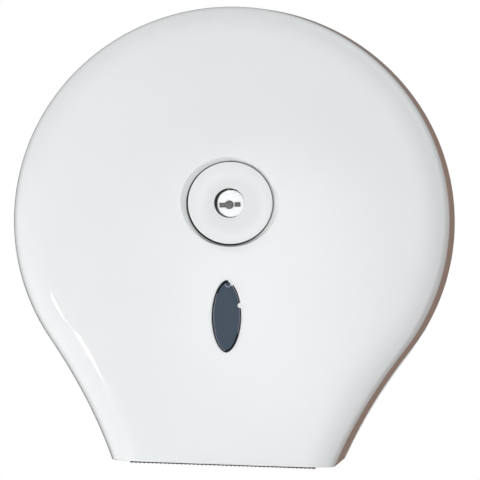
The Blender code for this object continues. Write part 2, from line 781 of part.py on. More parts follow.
def make_strike():
    across = CAM_HALF_WIDTH + STRIKE_SLOT_GAP
    top = CAM_HALF_LENGTH + STRIKE_SLOT_GAP
    bottom = -top - STRIKE_SLOT_DROP
    slot = [(-across, bottom), (across, bottom), (across, top), (-across, top)]
    holes = [circle(STRIKE_SCREW[2] + SEAT_GAP, at, SCREW_STEPS) for at in strike_screw_places()]
    rim = circle(STRIKE_RADIUS, steps=FINE_STEPS)
    plate = flat_mesh("strike_plate", [rim, slot, *holes], STRIKE_BACK, STRIKE_FRONT)
    add_mesh("strike_plate", plate, WALL_FRAME, (0, 0, 0), STEEL)
    for number, at in enumerate(strike_screw_places(), 1):
        add_screw(f"strike_screw_{number}", STRIKE_SCREW, WALL_FRAME, at, STRIKE_FRONT + SEAT_GAP, False)


def axle_screw_places():
    return places_on_circle(AXLE_SCREW_CIRCLE, AXLE_SCREW_PLACES, math.pi / 4)


def make_axle():
    groove = AXLE_RADIUS - GROOVE_DEPTH
    profile = [
        (AXLE_BORE_RADIUS, AXLE_FRONT),
        (AXLE_RADIUS, AXLE_FRONT),
        (AXLE_RADIUS, GROOVE_FRONT),
        (groove, GROOVE_FRONT),
        (groove, GROOVE_BACK),
        (AXLE_RADIUS, GROOVE_BACK),
        (AXLE_RADIUS, FLANGE_FRONT),
        (AXLE_FLANGE_RADIUS, FLANGE_FRONT),
        (AXLE_FLANGE_RADIUS, FLANGE_BACK),
        (AXLE_BORE_RADIUS, FLANGE_BACK),
    ]
    axle = turned("axle_post", profile, WALL_FRAME, MATT_WHITE, True, FINE_STEPS)
    flange = (FLANGE_BACK - OVERRUN, FLANGE_FRONT + OVERRUN)
    drill(axle, "flange_holes", axle_screw_places(), AXLE_SCREW, *flange)
    hole_end = STRIKE_FRONT + SEAT_GAP - STRIKE_SCREW[3] - SEAT_GAP
    drill(axle, "strike_screw_holes", strike_screw_places(), STRIKE_SCREW, hole_end, AXLE_FRONT + OVERRUN)
    for number, at in enumerate(axle_screw_places(), 1):
        add_screw(f"axle_screw_{number}", AXLE_SCREW, WALL_FRAME, at, FLANGE_FRONT + SEAT_GAP, False)
    washer_back = FLANGE_FRONT + SEAT_GAP
    washer_front = washer_back + HUB_WASHER_THICKNESS
    washer = tube_profile(AXLE_RADIUS + SEAT_GAP, HUB_WASHER_RADIUS, washer_back, washer_front)
    turned("hub_washer", washer, WALL_FRAME, MATT_WHITE, True, FINE_STEPS)
    ring = tube_profile(groove + SEAT_GAP, RING_RADIUS, GROOVE_BACK + SEAT_GAP, GROOVE_FRONT - SEAT_GAP)
    clip = turned("hub_retaining_ring", ring, WALL_FRAME, STEEL, True, FINE_STEPS)
    half = RING_MOUTH / 2
    cut(clip, box_mesh("ring_mouth", (-half, 0, GROOVE_BACK), (half, RING_RADIUS + OVERRUN, GROOVE_FRONT)))


def make_hub():
    bore = AXLE_RADIUS + RUN_GAP
    collar = HUB_WASHER_RADIUS
    barrel = bore + HUB_WALL
    flange_back = HUB_BACK + HUB_COLLAR_LENGTH
    flange_front = flange_back + HUB_FLANGE_THICKNESS
    profile = [
        (bore, HUB_FRONT),
        (barrel, HUB_FRONT),
        (barrel, flange_front),
        (HUB_FLANGE_RADIUS, flange_front),
        (HUB_FLANGE_RADIUS, flange_back),
        (collar, flange_back),
        (collar, HUB_BACK),
        (bore, HUB_BACK),
    ]
    hub = turned("roll_hub", profile, HUB_AXIS, MATT_WHITE, True, FINE_STEPS)
    ribs = bmesh.new()
    for step in range(HUB_RIBS):
        angle = 2 * math.pi * step / HUB_RIBS
        made = bmesh.ops.create_cube(ribs, size=1)
        for vert in made["verts"]:
            outer = vert.co.x > 0
            near_front = vert.co.z > 0
            radius = barrel + HUB_RIB_HEIGHT if outer else (bore + barrel) / 2
            lead = HUB_RIB_LEAD if outer and near_front else 0
            side = HUB_RIB_WIDTH * vert.co.y
            out = HUB_FRONT - OVERRUN / 2 - lead if near_front else flange_back + HUB_FLANGE_THICKNESS / 2
            across = radius * math.cos(angle) - side * math.sin(angle)
            up = radius * math.sin(angle) + side * math.cos(angle)
            vert.co = (across, up, out)
    mesh = bpy.data.meshes.new("hub_ribs")
    ribs.to_mesh(mesh)
    ribs.free()
    join(hub, mesh)


def wall_hole_outlines():
    """Two keyholes above and two upright slots below, for the wall's screws."""
    outlines = []
    for side in (-1, 1):
        centre = side * WALL_HOLE_ACROSS
        top = WALL_HOLE_RISE + WALL_HOLE_LENGTH
        outlines.append(slot_outline(centre, WALL_HOLE_RISE, top, KEYHOLE_RADIUS))
        low = BODY_CENTRE_UP - WALL_HOLE_RISE
        outlines.append(slot_outline(centre, low - WALL_HOLE_LENGTH, low, WALL_HOLE_RADIUS))
    return outlines


def slot_outline(across, bottom, top, bottom_radius):
    """An upright slot with a round top, and a round foot of its own radius."""
    steps = SCREW_STEPS // 2
    outline = []
    meet = math.acos(WALL_HOLE_RADIUS / bottom_radius)
    head = (top, WALL_HOLE_RADIUS, 0, math.pi)
    foot = (bottom, bottom_radius, math.pi - meet, math.pi + 2 * meet)
    for centre_up, radius, start, sweep in (head, foot):
        for step in range(steps + 1):
            angle = start + sweep * step / steps
            outline.append((across + radius * math.cos(angle), centre_up + radius * math.sin(angle)))
    return outline


def make_back_plate():
    outline = outline_above(PLATE_SETBACK, BOTTOM_UP)
    base = flat_mesh("back_plate", [outline, *wall_hole_outlines()], 0, PLATE_THICKNESS)
    plate = add_mesh("back_plate", base, WALL_FRAME, (0, 0, 0), MATT_WHITE)
    rim_front = PLATE_THICKNESS + RIM_DEPTH
    rim_inset = COVER_WALL + rim_front * math.tan(DRAFT) + RIM_GAP
    rim_floor = HINGE_UP + RIM_START_RISE
    outer = outline_above(rim_inset, rim_floor)
    inner = outline_above(rim_inset + RIM_WALL, rim_floor)
    embed = PLATE_THICKNESS - EMBED
    join(plate, flat_mesh("plate_rim", [outer + inner[::-1]], embed, rim_front))
    join(plate, rods_mesh("spindle_pad", [(0, 0)], PAD_RADIUS, embed, PAD_FRONT, FINE_STEPS))
    half = RIB_WIDTH / 2
    rib_front = PLATE_THICKNESS + RIB_HEIGHT
    start = PAD_RADIUS - EMBED
    side_end = BODY_HALF_WIDTH - RIB_END_GAP
    top_end = BODY_CENTRE_UP + BODY_HALF_HEIGHT - RIB_END_GAP
    bottom_end = BOTTOM_UP + RIB_END_GAP
    ribs = {
        "rib_right": ((start, -half), (side_end, half)),
        "rib_left": ((-side_end, -half), (-start, half)),
        "rib_top": ((-half, start), (half, top_end)),
        "rib_bottom": ((-half, bottom_end), (half, -start)),
    }
    for name, (low, high) in ribs.items():
        join(plate, box_mesh(name, (*low, embed), (*high, rib_front)))
    ear_inner = EAR_OUTER_FACE - EAR_THICKNESS
    for side in (-1, 1):
        low, high = sorted((side * ear_inner, side * EAR_OUTER_FACE))
        root = box_mesh(
            "ear_root", (low, HINGE_UP - EAR_RADIUS, embed), (high, HINGE_UP + EAR_RADIUS, HINGE_OUT)
        )
        join(plate, root)
        join(plate, cross_rods_mesh("ear_eye", [(low, high)], EAR_RADIUS))
    spans = [(side * (ear_inner - OVERRUN), side * (EAR_OUTER_FACE + OVERRUN)) for side in (-1, 1)]
    cut(plate, cross_rods_mesh("ear_holes", spans, PIN_RADIUS + SEAT_GAP))
    hole_end = FLANGE_FRONT - AXLE_SCREW[3]
    drill(plate, "pad_holes", axle_screw_places(), AXLE_SCREW, hole_end, PAD_FRONT + OVERRUN)


def make_hinge_pins():
    """Headed pins along x, pushed out through the ears into the cover's lugs."""
    for side, name in ((-1, "hinge_pin_left"), (1, "hinge_pin_right")):
        head_face = EAR_OUTER_FACE - EAR_THICKNESS - SEAT_GAP
        tip = EAR_OUTER_FACE + LUG_BITE
        profile = [
            (0, tip),
            (PIN_RADIUS, tip),
            (PIN_RADIUS, head_face),
            (PIN_HEAD_RADIUS, head_face),
            (PIN_HEAD_RADIUS, head_face - PIN_HEAD_THICKNESS),
            (0, head_face - PIN_HEAD_THICKNESS),
        ]
        pin = turned(name, profile, WALL_FRAME, STEEL, at=(0, HINGE_UP, HINGE_OUT))
        pin.rotation_euler = (0, side * math.pi / 2, 0)


def make_tear_bar():
    """A flat bar with a row of pointed teeth along its lower edge."""
    tip = BOTTOM_UP - TEAR_TIP_DROP
    root = tip + TOOTH_DEPTH
    teeth = int(2 * TEAR_HALF_LENGTH / TOOTH_PITCH)
    pitch = 2 * TEAR_HALF_LENGTH / teeth
    outline = [(TEAR_HALF_LENGTH, tip + TEAR_HEIGHT), (-TEAR_HALF_LENGTH, tip + TEAR_HEIGHT)]
    for tooth in range(teeth):
        start = -TEAR_HALF_LENGTH + pitch * tooth
        outline.append((start, root))
        outline.append((start + pitch / 2, tip))
    outline.append((TEAR_HALF_LENGTH, root))
    front = TEAR_PAD_BACK - SEAT_GAP
    holes = [circle(TEAR_SCREW[2] + SEAT_GAP, at, SCREW_STEPS) for at in tear_screw_places()]
    bar = flat_mesh("tear_bar", [outline, *holes], front - TEAR_THICKNESS, front)
    add_mesh("tear_bar", bar, COVER_HINGE, (0, 0, 0), MATT_WHITE)
    for number, at in enumerate(tear_screw_places(), 1):
        add_screw(f"tear_bar_screw_{number}", TEAR_SCREW, COVER_HINGE, at, tear_screw_head(), True)


make_back_plate()
make_axle()
make_strike()
make_hinge_pins()
make_hub()
make_cover()
make_window()
make_lock_disc()
make_housing()
make_plug()
make_tear_bar()
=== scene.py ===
"""The looks of a jumbo roll toilet paper dispenser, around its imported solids.

Lengths are in metres. Points are written as (across, up, out), where out is the distance from the
wall plane towards the viewer, and put() turns them into the frame's x, y and z.
"""

import json
import math

import bmesh
import bpy
import numpy as np
from mathutils import Matrix, Vector
from mathutils.geometry import delaunay_2d_cdt


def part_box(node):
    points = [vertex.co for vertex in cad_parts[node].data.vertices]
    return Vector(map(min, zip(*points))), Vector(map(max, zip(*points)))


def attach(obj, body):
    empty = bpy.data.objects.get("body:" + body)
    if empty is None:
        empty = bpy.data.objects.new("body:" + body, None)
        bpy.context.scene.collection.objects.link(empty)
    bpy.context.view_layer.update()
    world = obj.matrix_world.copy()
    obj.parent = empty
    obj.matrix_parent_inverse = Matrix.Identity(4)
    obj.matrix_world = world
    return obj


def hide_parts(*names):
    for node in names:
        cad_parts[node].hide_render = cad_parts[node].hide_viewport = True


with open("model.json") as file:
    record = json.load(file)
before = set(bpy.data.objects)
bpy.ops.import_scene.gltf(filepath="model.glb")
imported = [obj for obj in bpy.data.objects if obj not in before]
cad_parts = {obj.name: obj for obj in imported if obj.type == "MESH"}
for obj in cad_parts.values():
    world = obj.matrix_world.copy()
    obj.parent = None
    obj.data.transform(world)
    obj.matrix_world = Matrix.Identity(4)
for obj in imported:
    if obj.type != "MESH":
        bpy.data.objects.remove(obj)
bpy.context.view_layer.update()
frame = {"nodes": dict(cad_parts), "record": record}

# The cover's outline at its back edge, as in the solids
BODY_HALF_WIDTH = 0.13275
BODY_HALF_HEIGHT = 0.13055
BODY_HALF_HEIGHT_BELOW = 0.1298
BODY_UP = -0.010
FLANK_ANGLE = math.radians(-35.5)
FLANK_BEND = 0.5
FLANK_SEARCH_END = 1.6
FLANK_SEARCH_ROUNDS = 40
NECK_HALF_WIDTH = 0.0708
BOTTOM = -0.1515
ARC_STEPS = 72
FLANK_STEPS = 34
BASE_STEPS = 34

# The cover's section
DEPTH = 0.122
CROWN = 0.004
CROWN_ACROSS = 0.1112
CROWN_ABOVE = 0.0986
CROWN_BELOW = 0.172
CROWN_TURN = 0.05
DRAFT = math.radians(3)
EDGE_RADIUS = 0.018
EDGE_STEPS = 16
WALL = 0.003
BACK = 0.0028
LIP_RADIUS = 0.0008
BACK_RADIUS = 0.0004
LIP_STEPS = 4
SIDE_SHARES = (0.05, 0.11, 0.3, 0.55, 0.8)
HINGE_UP = -0.1435
HINGE_OUT = 0.012
HEEL_RADIUS = 0.0088

# The filling of faces with triangles, and the angle over which edges stay sharp
FACE_SPACING = 0.004
GRID_CLEARANCE = 0.7
MERGE_DISTANCE = 1e-7
SHARP_DEGREES = 35

# The recess round the lock. Its rim is a wide oval, blended into the recess in rows of (share of
# the way, drop below the front), and the recess's own rows are (radius, out, centre across)
LOCK_ACROSS = -0.0008
OVAL = 0.97
RIM_HALF_WIDTH = 0.0285
RIM_HALF_HEIGHT = 0.0261
RIM_UP = 0.0009
RIM_ROWS = (
    (-0.1, 0.0),
    (-0.02, 0.00001),
    (0.0, 0.00005),
    (0.03, 0.00013),
    (0.07, 0.00026),
    (0.14, 0.00045),
    (0.9, 0.00244),
)
RECESS_WALL = 0.02520
RECESS_ROWS = (
    (0.02555, 0.11905, LOCK_ACROSS),
    (0.02535, 0.11890, LOCK_ACROSS),
    (0.02525, 0.11865, LOCK_ACROSS),
    (RECESS_WALL, 0.11830, LOCK_ACROSS),
    (RECESS_WALL, 0.11660, LOCK_ACROSS),
    (0.02510, 0.11635, LOCK_ACROSS),
    (0.02490, 0.11630, LOCK_ACROSS),
    (0.01100, 0.11630, 0),
    (0.01100, 0.11330, 0),
    (0.02860, 0.11330, LOCK_ACROSS),
    (0.02900, 0.11345, LOCK_ACROSS),
    (0.02920, 0.11385, LOCK_ACROSS),
    (0.02930, 0.11750, LOCK_ACROSS),
    (0.02980, 0.11850, LOCK_ACROSS),
)
RECESS_STEPS = 128
CUP_RADIUS = 0.0308

# The window's hole, as rows of (margin, drop below the front) and then of (margin, out)
WINDOW_ACROSS = -0.0005
WINDOW_UP = -0.0655
WINDOW_TILT = math.radians(1.5)
WINDOW_HALF_WIDTH = 0.0086
WINDOW_HALF_HEIGHT = 0.0210
WINDOW_POINT = 0.56
WINDOW_STEPS = 30
WINDOW_RIM_ROWS = (
    (0.0024, 0.0),
    (0.0011, 0.00002),
    (0.0006, 0.00013),
    (0.00025, 0.0003),
    (0.0, 0.0006),
)
PAD_BACK = 0.115
PAD_ROWS = (
    (0.0, 0.11540),
    (0.0004, PAD_BACK),
    (0.0070, PAD_BACK),
    (0.0075, 0.11545),
)
PAD_MARGIN = 0.0080

# The lock's disc round its key hole, as rows of (radius, out, centre across, centre up)
HOLE = (-0.0010, 0.0002)
HOLE_RADIUS = 0.0088
DISC = (LOCK_ACROSS + 0.00032, 0.0003)
DISC_RADIUS = 0.02456
DISC_FRONT = 0.1212
DISC_INNER = DISC_FRONT - 0.0027
DISC_SHOULDER = 0.1181
DISC_SHOULDER_RADIUS = DISC_RADIUS - 0.0016
DISC_BACK = 0.1166
DISC_CUP = 0.0154
DISC_ROWS = (
    (HOLE_RADIUS, DISC_INNER, *HOLE),
    (HOLE_RADIUS, DISC_FRONT - 0.0003, *HOLE),
    (HOLE_RADIUS + 0.0001, DISC_FRONT - 0.0001, *HOLE),
    (HOLE_RADIUS + 0.0003, DISC_FRONT, *HOLE),
    (DISC_RADIUS - 0.0007, DISC_FRONT, *DISC),
    (DISC_RADIUS - 0.0003, DISC_FRONT - 0.00008, *DISC),
    (DISC_RADIUS - 0.0001, DISC_FRONT - 0.00025, *DISC),
    (DISC_RADIUS, DISC_FRONT - 0.0006, *DISC),
    (DISC_RADIUS, DISC_SHOULDER, *DISC),
    (DISC_SHOULDER_RADIUS, DISC_SHOULDER, *DISC),
    (DISC_SHOULDER_RADIUS, DISC_BACK, *DISC),
    (DISC_CUP, DISC_BACK, *DISC),
    (DISC_CUP, DISC_INNER, *DISC),
)

# The black ring in the recess under the disc's edge, over the recess's wall: painted shade in the
# gap round the disc
GAP_SHADE = (LOCK_ACROSS, 0)
GAP_SHADE_RADIUS = RECESS_WALL - 0.00005
GAP_SHADE_INNER_RADIUS = GAP_SHADE_RADIUS - 0.0017
GAP_SHADE_LIP_RADIUS = GAP_SHADE_RADIUS - 0.0002
GAP_SHADE_BACK = 0.1164
GAP_SHADE_SHOULDER = 0.1178
GAP_SHADE_FRONT = 0.1182
GAP_SHADE_ROWS = (
    (GAP_SHADE_INNER_RADIUS, GAP_SHADE_BACK, *GAP_SHADE),
    (GAP_SHADE_INNER_RADIUS, GAP_SHADE_SHOULDER, *GAP_SHADE),
    (GAP_SHADE_LIP_RADIUS, GAP_SHADE_SHOULDER, *GAP_SHADE),
    (GAP_SHADE_LIP_RADIUS, GAP_SHADE_FRONT, *GAP_SHADE),
    (GAP_SHADE_RADIUS, GAP_SHADE_FRONT, *GAP_SHADE),
    (GAP_SHADE_RADIUS, GAP_SHADE_BACK, *GAP_SHADE),
)

# The key plug, as rows of (radius, out), its slot, and the grey shutter in the slot
PLUG_RADIUS = 0.0078
PLUG_FRONT = 0.1205
PLUG_BACK = 0.1070
PLUG_STEPS = 96
PLUG_SPACING = 0.0012
TANG_RADIUS = 0.0026
TANG_END = 0.1014
PLUG_ROWS = (
    (PLUG_RADIUS - 0.0002, PLUG_FRONT),
    (PLUG_RADIUS - 0.00005, PLUG_FRONT - 0.00005),
    (PLUG_RADIUS, PLUG_FRONT - 0.0002),
    (PLUG_RADIUS, PLUG_BACK + 0.0003),
    (PLUG_RADIUS - 0.0003, PLUG_BACK),
    (TANG_RADIUS, PLUG_BACK),
    (TANG_RADIUS, TANG_END),
)
SLOT_FLOOR = 0.1168
SLOT_TURN = math.radians(4.5)
SLOT_SPACING = 0.001
EYE_ACROSS = -0.0010
EYE_UP = -0.0008
EYE_RADIUS = 0.0026
EYE_STEPS = 28
WING_HALF_HEIGHT = 0.0014
LEFT_WING_END = -0.0068
RIGHT_WING_START = 0.0019
RIGHT_WING_END = 0.0056
WING_ROUNDING = 0.0004
CORNER_STEPS = 3
SHUTTER_GAP = 0.0003
SHUTTER_EDGE = 0.0006
SHUTTER_FLOOR = SLOT_FLOOR + 0.0001
SHUTTER_SHOULDER = PLUG_FRONT - 0.0009
SHUTTER_FRONT = PLUG_FRONT - 0.0006

# The window's pane, as rows of (margin, out, material of the band before the row): 0 is the pane,
# 1 its edge in painted shade, and 2 its rim, with a painted highlight only at both sides, the
# upper right and the lower left, and the edge's painted shade elsewhere
LENS_FRONT = 0.1201
LENS_BACK = 0.1129
LENS_FLANGE = 0.1147
LENS_ROWS = (
    (0.0022, LENS_BACK, 0),
    (0.0022, LENS_FLANGE, 0),
    (-0.0006, LENS_FLANGE, 1),
    (-0.0006, 0.1188, 1),
    (-0.0008, 0.1191, 1),
    (-0.0012, 0.1193, 2),
    (-0.0014, 0.1199, 2),
    (-0.0016, LENS_FRONT, 0),
)
LENS_FRONT_SPACING = 0.003
# Where the rim's painted highlight falls: the upper right, the lower left and both sides
HIGHLIGHT_CORNER = 0.00001
HIGHLIGHT_SIDE = 0.0063

# The half ring at the window's top, and the corners of the two clips at its edge
EYELET = (0.0008, WINDOW_HALF_HEIGHT - 0.0022)
EYELET_RADIUS = 0.0017
EYELET_BEAD = 0.00028
EYELET_START = 1.02
EYELET_SWEEP = 0.96
EYELET_STEPS = 16
BEAD_SIDES = 10
SIDE_CLIP = (
    (0.0094, 0.0085),
    (0.0080, 0.0081),
    (0.0066, 0.0072),
    (0.0063, 0.0063),
    (0.0067, 0.0053),
    (0.0082, 0.0047),
    (0.0094, 0.0045),
)
TOP_CLIP = (
    (0.0010, 0.0218),
    (0.0008, 0.0203),
    (0.0018, 0.0194),
    (0.0026, 0.0180),
    (0.0034, 0.0178),
    (0.0042, 0.0190),
    (0.0034, 0.0210),
)
CLIP_BACK = 0.11900
CLIP_SHOULDER = 0.12045
CLIP_FRONT = 0.12065
CLIP_DRAW_IN = 0.15
CLIP_SHARP_DEGREES = 60

# The lugs on the hinge pins, as rows of (radius, distance along, share of the way to the wall)
LUG_INNER = 0.0623
LUG_RADIUS = 0.0075
LUG_ROUNDING = 0.0004
LUG_STEPS = 48
PIN_HOLE_RADIUS = 0.0029
PIN_HOLE_DEPTH = 0.0060
LUG_ROWS = (
    (PIN_HOLE_RADIUS, PIN_HOLE_DEPTH, 0),
    (PIN_HOLE_RADIUS, LUG_ROUNDING, 0),
    (PIN_HOLE_RADIUS + LUG_ROUNDING, 0, 0),
    (LUG_RADIUS - LUG_ROUNDING, 0, 0),
    (LUG_RADIUS, 0, 0.04),
    (LUG_RADIUS, 0, 1),
)

# The ledge that the tear bar is screwed to, and the dark teeth in front of the bar
LEDGE_HALF_LENGTH = 0.042
LEDGE_LOW = BOTTOM + 0.001
LEDGE_HIGH = BOTTOM + 0.013
LEDGE_FRONT = 0.1165
LEDGE_BACK = 0.1144
LEDGE_ROUNDING = 0.0004
LEDGE_CORNER = 0.001
TEETH_HALF_LENGTH = 0.054
TEETH_PITCH = 0.0024
TEETH_TOP = BOTTOM + 0.0012
TEETH_TIP = -0.1525
TEETH_ROOT = -0.1521
TEETH_BACK = 0.1146
TEETH_FRONT = 0.1152

# Screws as (name, count, head radius, head height, shank radius, whether the head looks to the
# wall). A head's rows are (outline, share of its radius, share of its height)
SCREWS = (
    ("axle_screw", 4, 0.00375, 0.0024, 0.0019, False),
    ("strike_screw", 2, 0.0026, 0.0015, 0.0012, False),
    ("disc_screw", 3, 0.0028, 0.0014, 0.0014, True),
    ("window_screw", 2, 0.0022, 0.0012, 0.0010, True),
    ("tear_bar_screw", 3, 0.0024, 0.0012, 0.0011, True),
)
HEAD_ROWS = (
    ("cross", 0.45, 0.75),
    ("cross", 0.80, 0.60),
    ("cross", 1.0, 0.02),
    ("cross", 1.06, 0.0),
    ("round", 0.70, 0.02),
    ("round", 0.86, 0.16),
    ("round", 0.96, 0.38),
    ("round", 1.0, 0.62),
    ("round", 1.0, 0.97),
    ("round", 0.98, 1.0),
)
SCREW_STEPS = 48
SCREW_SHARP_DEGREES = 40
SCREW_TIP = 0.0008
SCREW_TIP_SHARE = 0.5
SCREW_TURN_BY_NUMBER = 0.7
SCREW_TURN_BY_SIZE = 100
CROSS_REACH = 0.6
CROSS_HALF_WIDTH = 0.16
LEAST_SHARE = 0.001

# How far each kept node's edges are rounded, and how they are found
ROUNDINGS = {
    "back_plate": 0.0003,
    "axle_post": 0.0003,
    "roll_hub": 0.0003,
    "hub_washer": 0.0002,
    "hub_retaining_ring": 0.0002,
    "strike_plate": 0.0002,
    "window_retainer": 0.0003,
    "lock_nut": 0.0004,
    "lock_housing": 0.0002,
    "lock_cam": 0.0002,
    "cam_washer": 0.0001,
    "cam_screw": 0.0002,
    "hinge_pin_left": 0.0003,
    "hinge_pin_right": 0.0003,
    "tear_bar": 0.0001,
}
ROUNDING_SEGMENTS = 2
ROUNDED_OVER = math.radians(30)
FLAT_UNDER = math.radians(0.5)
WELD_DISTANCE = 0.000002

# Surfaces: the range that a noise mostly covers, and the noises as (scale, detail)
NOISE_RANGE = (0.3, 0.7)
CLOUD_NOISE = (22, 4)
PEEL_DETAIL = 3
ZINC_GRAIN_NOISE = (900, 4)
ZINC_CLOUD_NOISE = (120, 3)
ZINC_SHADES = (0.86, 1.12)
ZINC_GLOSS_SPREAD = 0.3
ZINC_RELIEF = 0.00002

# The floor, whose glow in the rays that show it goes from half in the middle to full outwards
FLOOR_UP = -0.6
FLOOR_RADIUS = 1.8
FLOOR_SIDES = 96
FLOOR_GREY = 0.9
FLOOR_ROUGHNESS = 0.9
FLOOR_GLOW = (0.5, 1)
FLOOR_GLOW_REACH = (0.5, 1.5)

# The dark card behind the object, which fades to white away from its middle and at its foot
CARD_BACK = 0.22
CARD_CORNERS = ((-1, -0.55), (1.3, -0.55), (1.3, 1), (-1, 1))
CARD_MIDDLE = (0.2, 0, -0.3)
CARD_FADE = (0.5, 1.0)
CARD_FOOT = (-0.38, -0.54)
CARD_LEFT = (0.0, 0.0, 0.0)
CARD_RIGHT = (0.22, 0.15, 0.12)
CARD_ABOVE = (0.2, 0.2, 0.2)
CARD_SIDE_BLEND = (-0.05, 0.05)
CARD_ABOVE_BLEND = (0.05, 0.2)
WHITE = (1.0, 1.0, 1.0)

# The pale card behind the camera
GLOW_PLACE = (0.06, -3.1, -0.15)
GLOW_HALF_SIZE = 0.56
GLOW_STRENGTH = 2.0
GLOW_CORE = 0.08

# The light from all round, which is stronger from the upper left
AMBIENT = 0.35
AMBIENT_COLOUR = (0.945, 0.975, 1, 1)
AMBIENT_WAY = (-0.6, 0, 0.8)
AMBIENT_UNEVENNESS = 0.4

# Lamps as (name, place, target, size, width of a strip, power, whether gloss shows it)
MIDDLE = (0, -0.06, 0)
LAMPS = (
    ("key", (-0.79, -1.09, -0.575), MIDDLE, 0.3, None, 11.5, False),
    ("side", (-1.15, -0.80, -0.15), MIDDLE, 0.8, None, 0.7, False),
    ("fill", (1.4, -0.95, 1.6), MIDDLE, 1.2, None, 17, False),
    ("top", (0, -0.75, 1.7), MIDDLE, 0.8, None, 2.4, False),
    ("streak", (-0.590, -1.305, -0.379), (-0.085, -0.11, -0.09), 0.24, 0.024, 0.30, True),
    ("glint", (-0.80, -1.19, -0.375), (-0.11, -0.11, -0.06), 0.12, 0.09, 0.46, True),
    ("back_left", (-1.3, 1.9, 0.9), MIDDLE, 1.4, None, 18, True),
    ("back_right", (1.0, 2.1, 0.7), MIDDLE, 1.4, None, 15, True),
)
STRIP_TURN = math.radians(34)

CAMERA_DISTANCE = 2.5
CAMERA_AZIMUTH = math.radians(1.65)
CAMERA_AIM = (0.0024, 0, -0.021)
CAMERA_ROLL = math.radians(1.9)
CAMERA_LENS = 308
CAMERA_SENSOR = 36


def put(across, up, out):
    return Vector((across, -out, up))


def smoothstep(low, high, value):
    share = min(1, max(0, (value - low) / (high - low)))
    return share * share * (3 - 2 * share)


def crown(across, up):
    """How far the front face stands out, before its edge is rounded."""
    turn = smoothstep(-CROWN_TURN, CROWN_TURN, up)
    tall = turn / CROWN_ABOVE**2 + (1 - turn) / CROWN_BELOW**2
    return DEPTH - CROWN * ((across / CROWN_ACROSS) ** 2 + up * up * tall)


def below_crown(drop):
    """The front face lowered by a drop, as a function of across and up."""
    return lambda across, up: crown(across, up) - drop


def circle(radius, steps, centre=(0, 0)):
    turns = [2 * math.pi * step / steps for step in range(steps)]
    return [
        Vector((centre[0] + radius * math.cos(turn), centre[1] + radius * math.sin(turn)))
        for turn in turns
    ]


def oval(radius, steps, across, up=0, share=OVAL):
    """A circle that is a little flatter than wide, as the recess is."""
    return [Vector((point.x + across, point.y * share + up)) for point in circle(radius, steps)]


def corner_arc(across, up, radius, first):
    """Points along a quarter circle round a centre, from an angle in degrees."""
    turns = [math.radians(first + 90 * step / CORNER_STEPS) for step in range(CORNER_STEPS + 1)]
    return [
        Vector((across + radius * math.cos(turn), up + radius * math.sin(turn))) for turn in turns
    ]


def flank_point(inset, share, start, bend, end):
    on_curve = start * (1 - share) ** 2 + bend * 2 * share * (1 - share) + end * share**2
    along = (bend - start) * (1 - share) + (end - bend) * share
    normal = Vector((-along.y, along.x)).normalized()
    return on_curve - normal * inset


def outline(inset, floor):
    """The cover's outline, drawn in by the inset: from its left foot over the top to its right."""
    right = []
    sweep = FLANK_ANGLE - math.pi / 2
    for step in range(ARC_STEPS + 1):
        angle = math.pi / 2 + sweep * step / ARC_STEPS
        wide = math.cos(angle)
        tall = math.sin(angle)
        reach = BODY_HALF_HEIGHT if tall > 0 else BODY_HALF_HEIGHT_BELOW
        start = Vector((BODY_HALF_WIDTH * wide, BODY_UP + reach * tall))
        normal = Vector((wide / BODY_HALF_WIDTH, tall / reach)).normalized()
        right.append(start - normal * inset)
    end = Vector((NECK_HALF_WIDTH, BOTTOM))
    bend = start + Vector((normal.y / normal.x, -1)) * (start.y - end.y) * FLANK_BEND
    low, high = 0.0, FLANK_SEARCH_END
    for _ in range(FLANK_SEARCH_ROUNDS):
        middle = (low + high) / 2
        if flank_point(inset, middle, start, bend, end).y > floor:
            low = middle
        else:
            high = middle
    for step in range(1, FLANK_STEPS + 1):
        right.append(flank_point(inset, low * step / FLANK_STEPS, start, bend, end))
    left = [Vector((-point.x, point.y)) for point in reversed(right[1:])]
    return left + right


def in_window(point):
    """A point given from the window's middle, upright, as it stands on the cover."""
    return Vector((WINDOW_ACROSS, WINDOW_UP)) + Matrix.Rotation(WINDOW_TILT, 2) @ Vector(point)


def window_outline(margin):
    half_width = WINDOW_HALF_WIDTH + margin
    half_height = WINDOW_HALF_HEIGHT + margin
    right = []
    for step in range(WINDOW_STEPS + 1):
        share = math.cos(math.pi * step / WINDOW_STEPS)
        across = half_width * max(0, 1 - share**2) ** WINDOW_POINT
        right.append(Vector((across, half_height * share)))
    ring = right + [Vector((-point.x, point.y)) for point in reversed(right[1:-1])]
    return [in_window(point) for point in ring]


def inside(spot, ring):
    """Whether a 2D point lies in a closed ring, by counting the edges to its right."""
    odd = False
    x, y = spot[0], spot[1]
    before = ring[-1]
    for corner in ring:
        if (corner[1] > y) != (before[1] > y):
            area = (y - corner[1]) * (before[0] - corner[0])
            if x < corner[0] + area / (before[1] - corner[1]):
                odd = not odd
        before = corner
    return odd


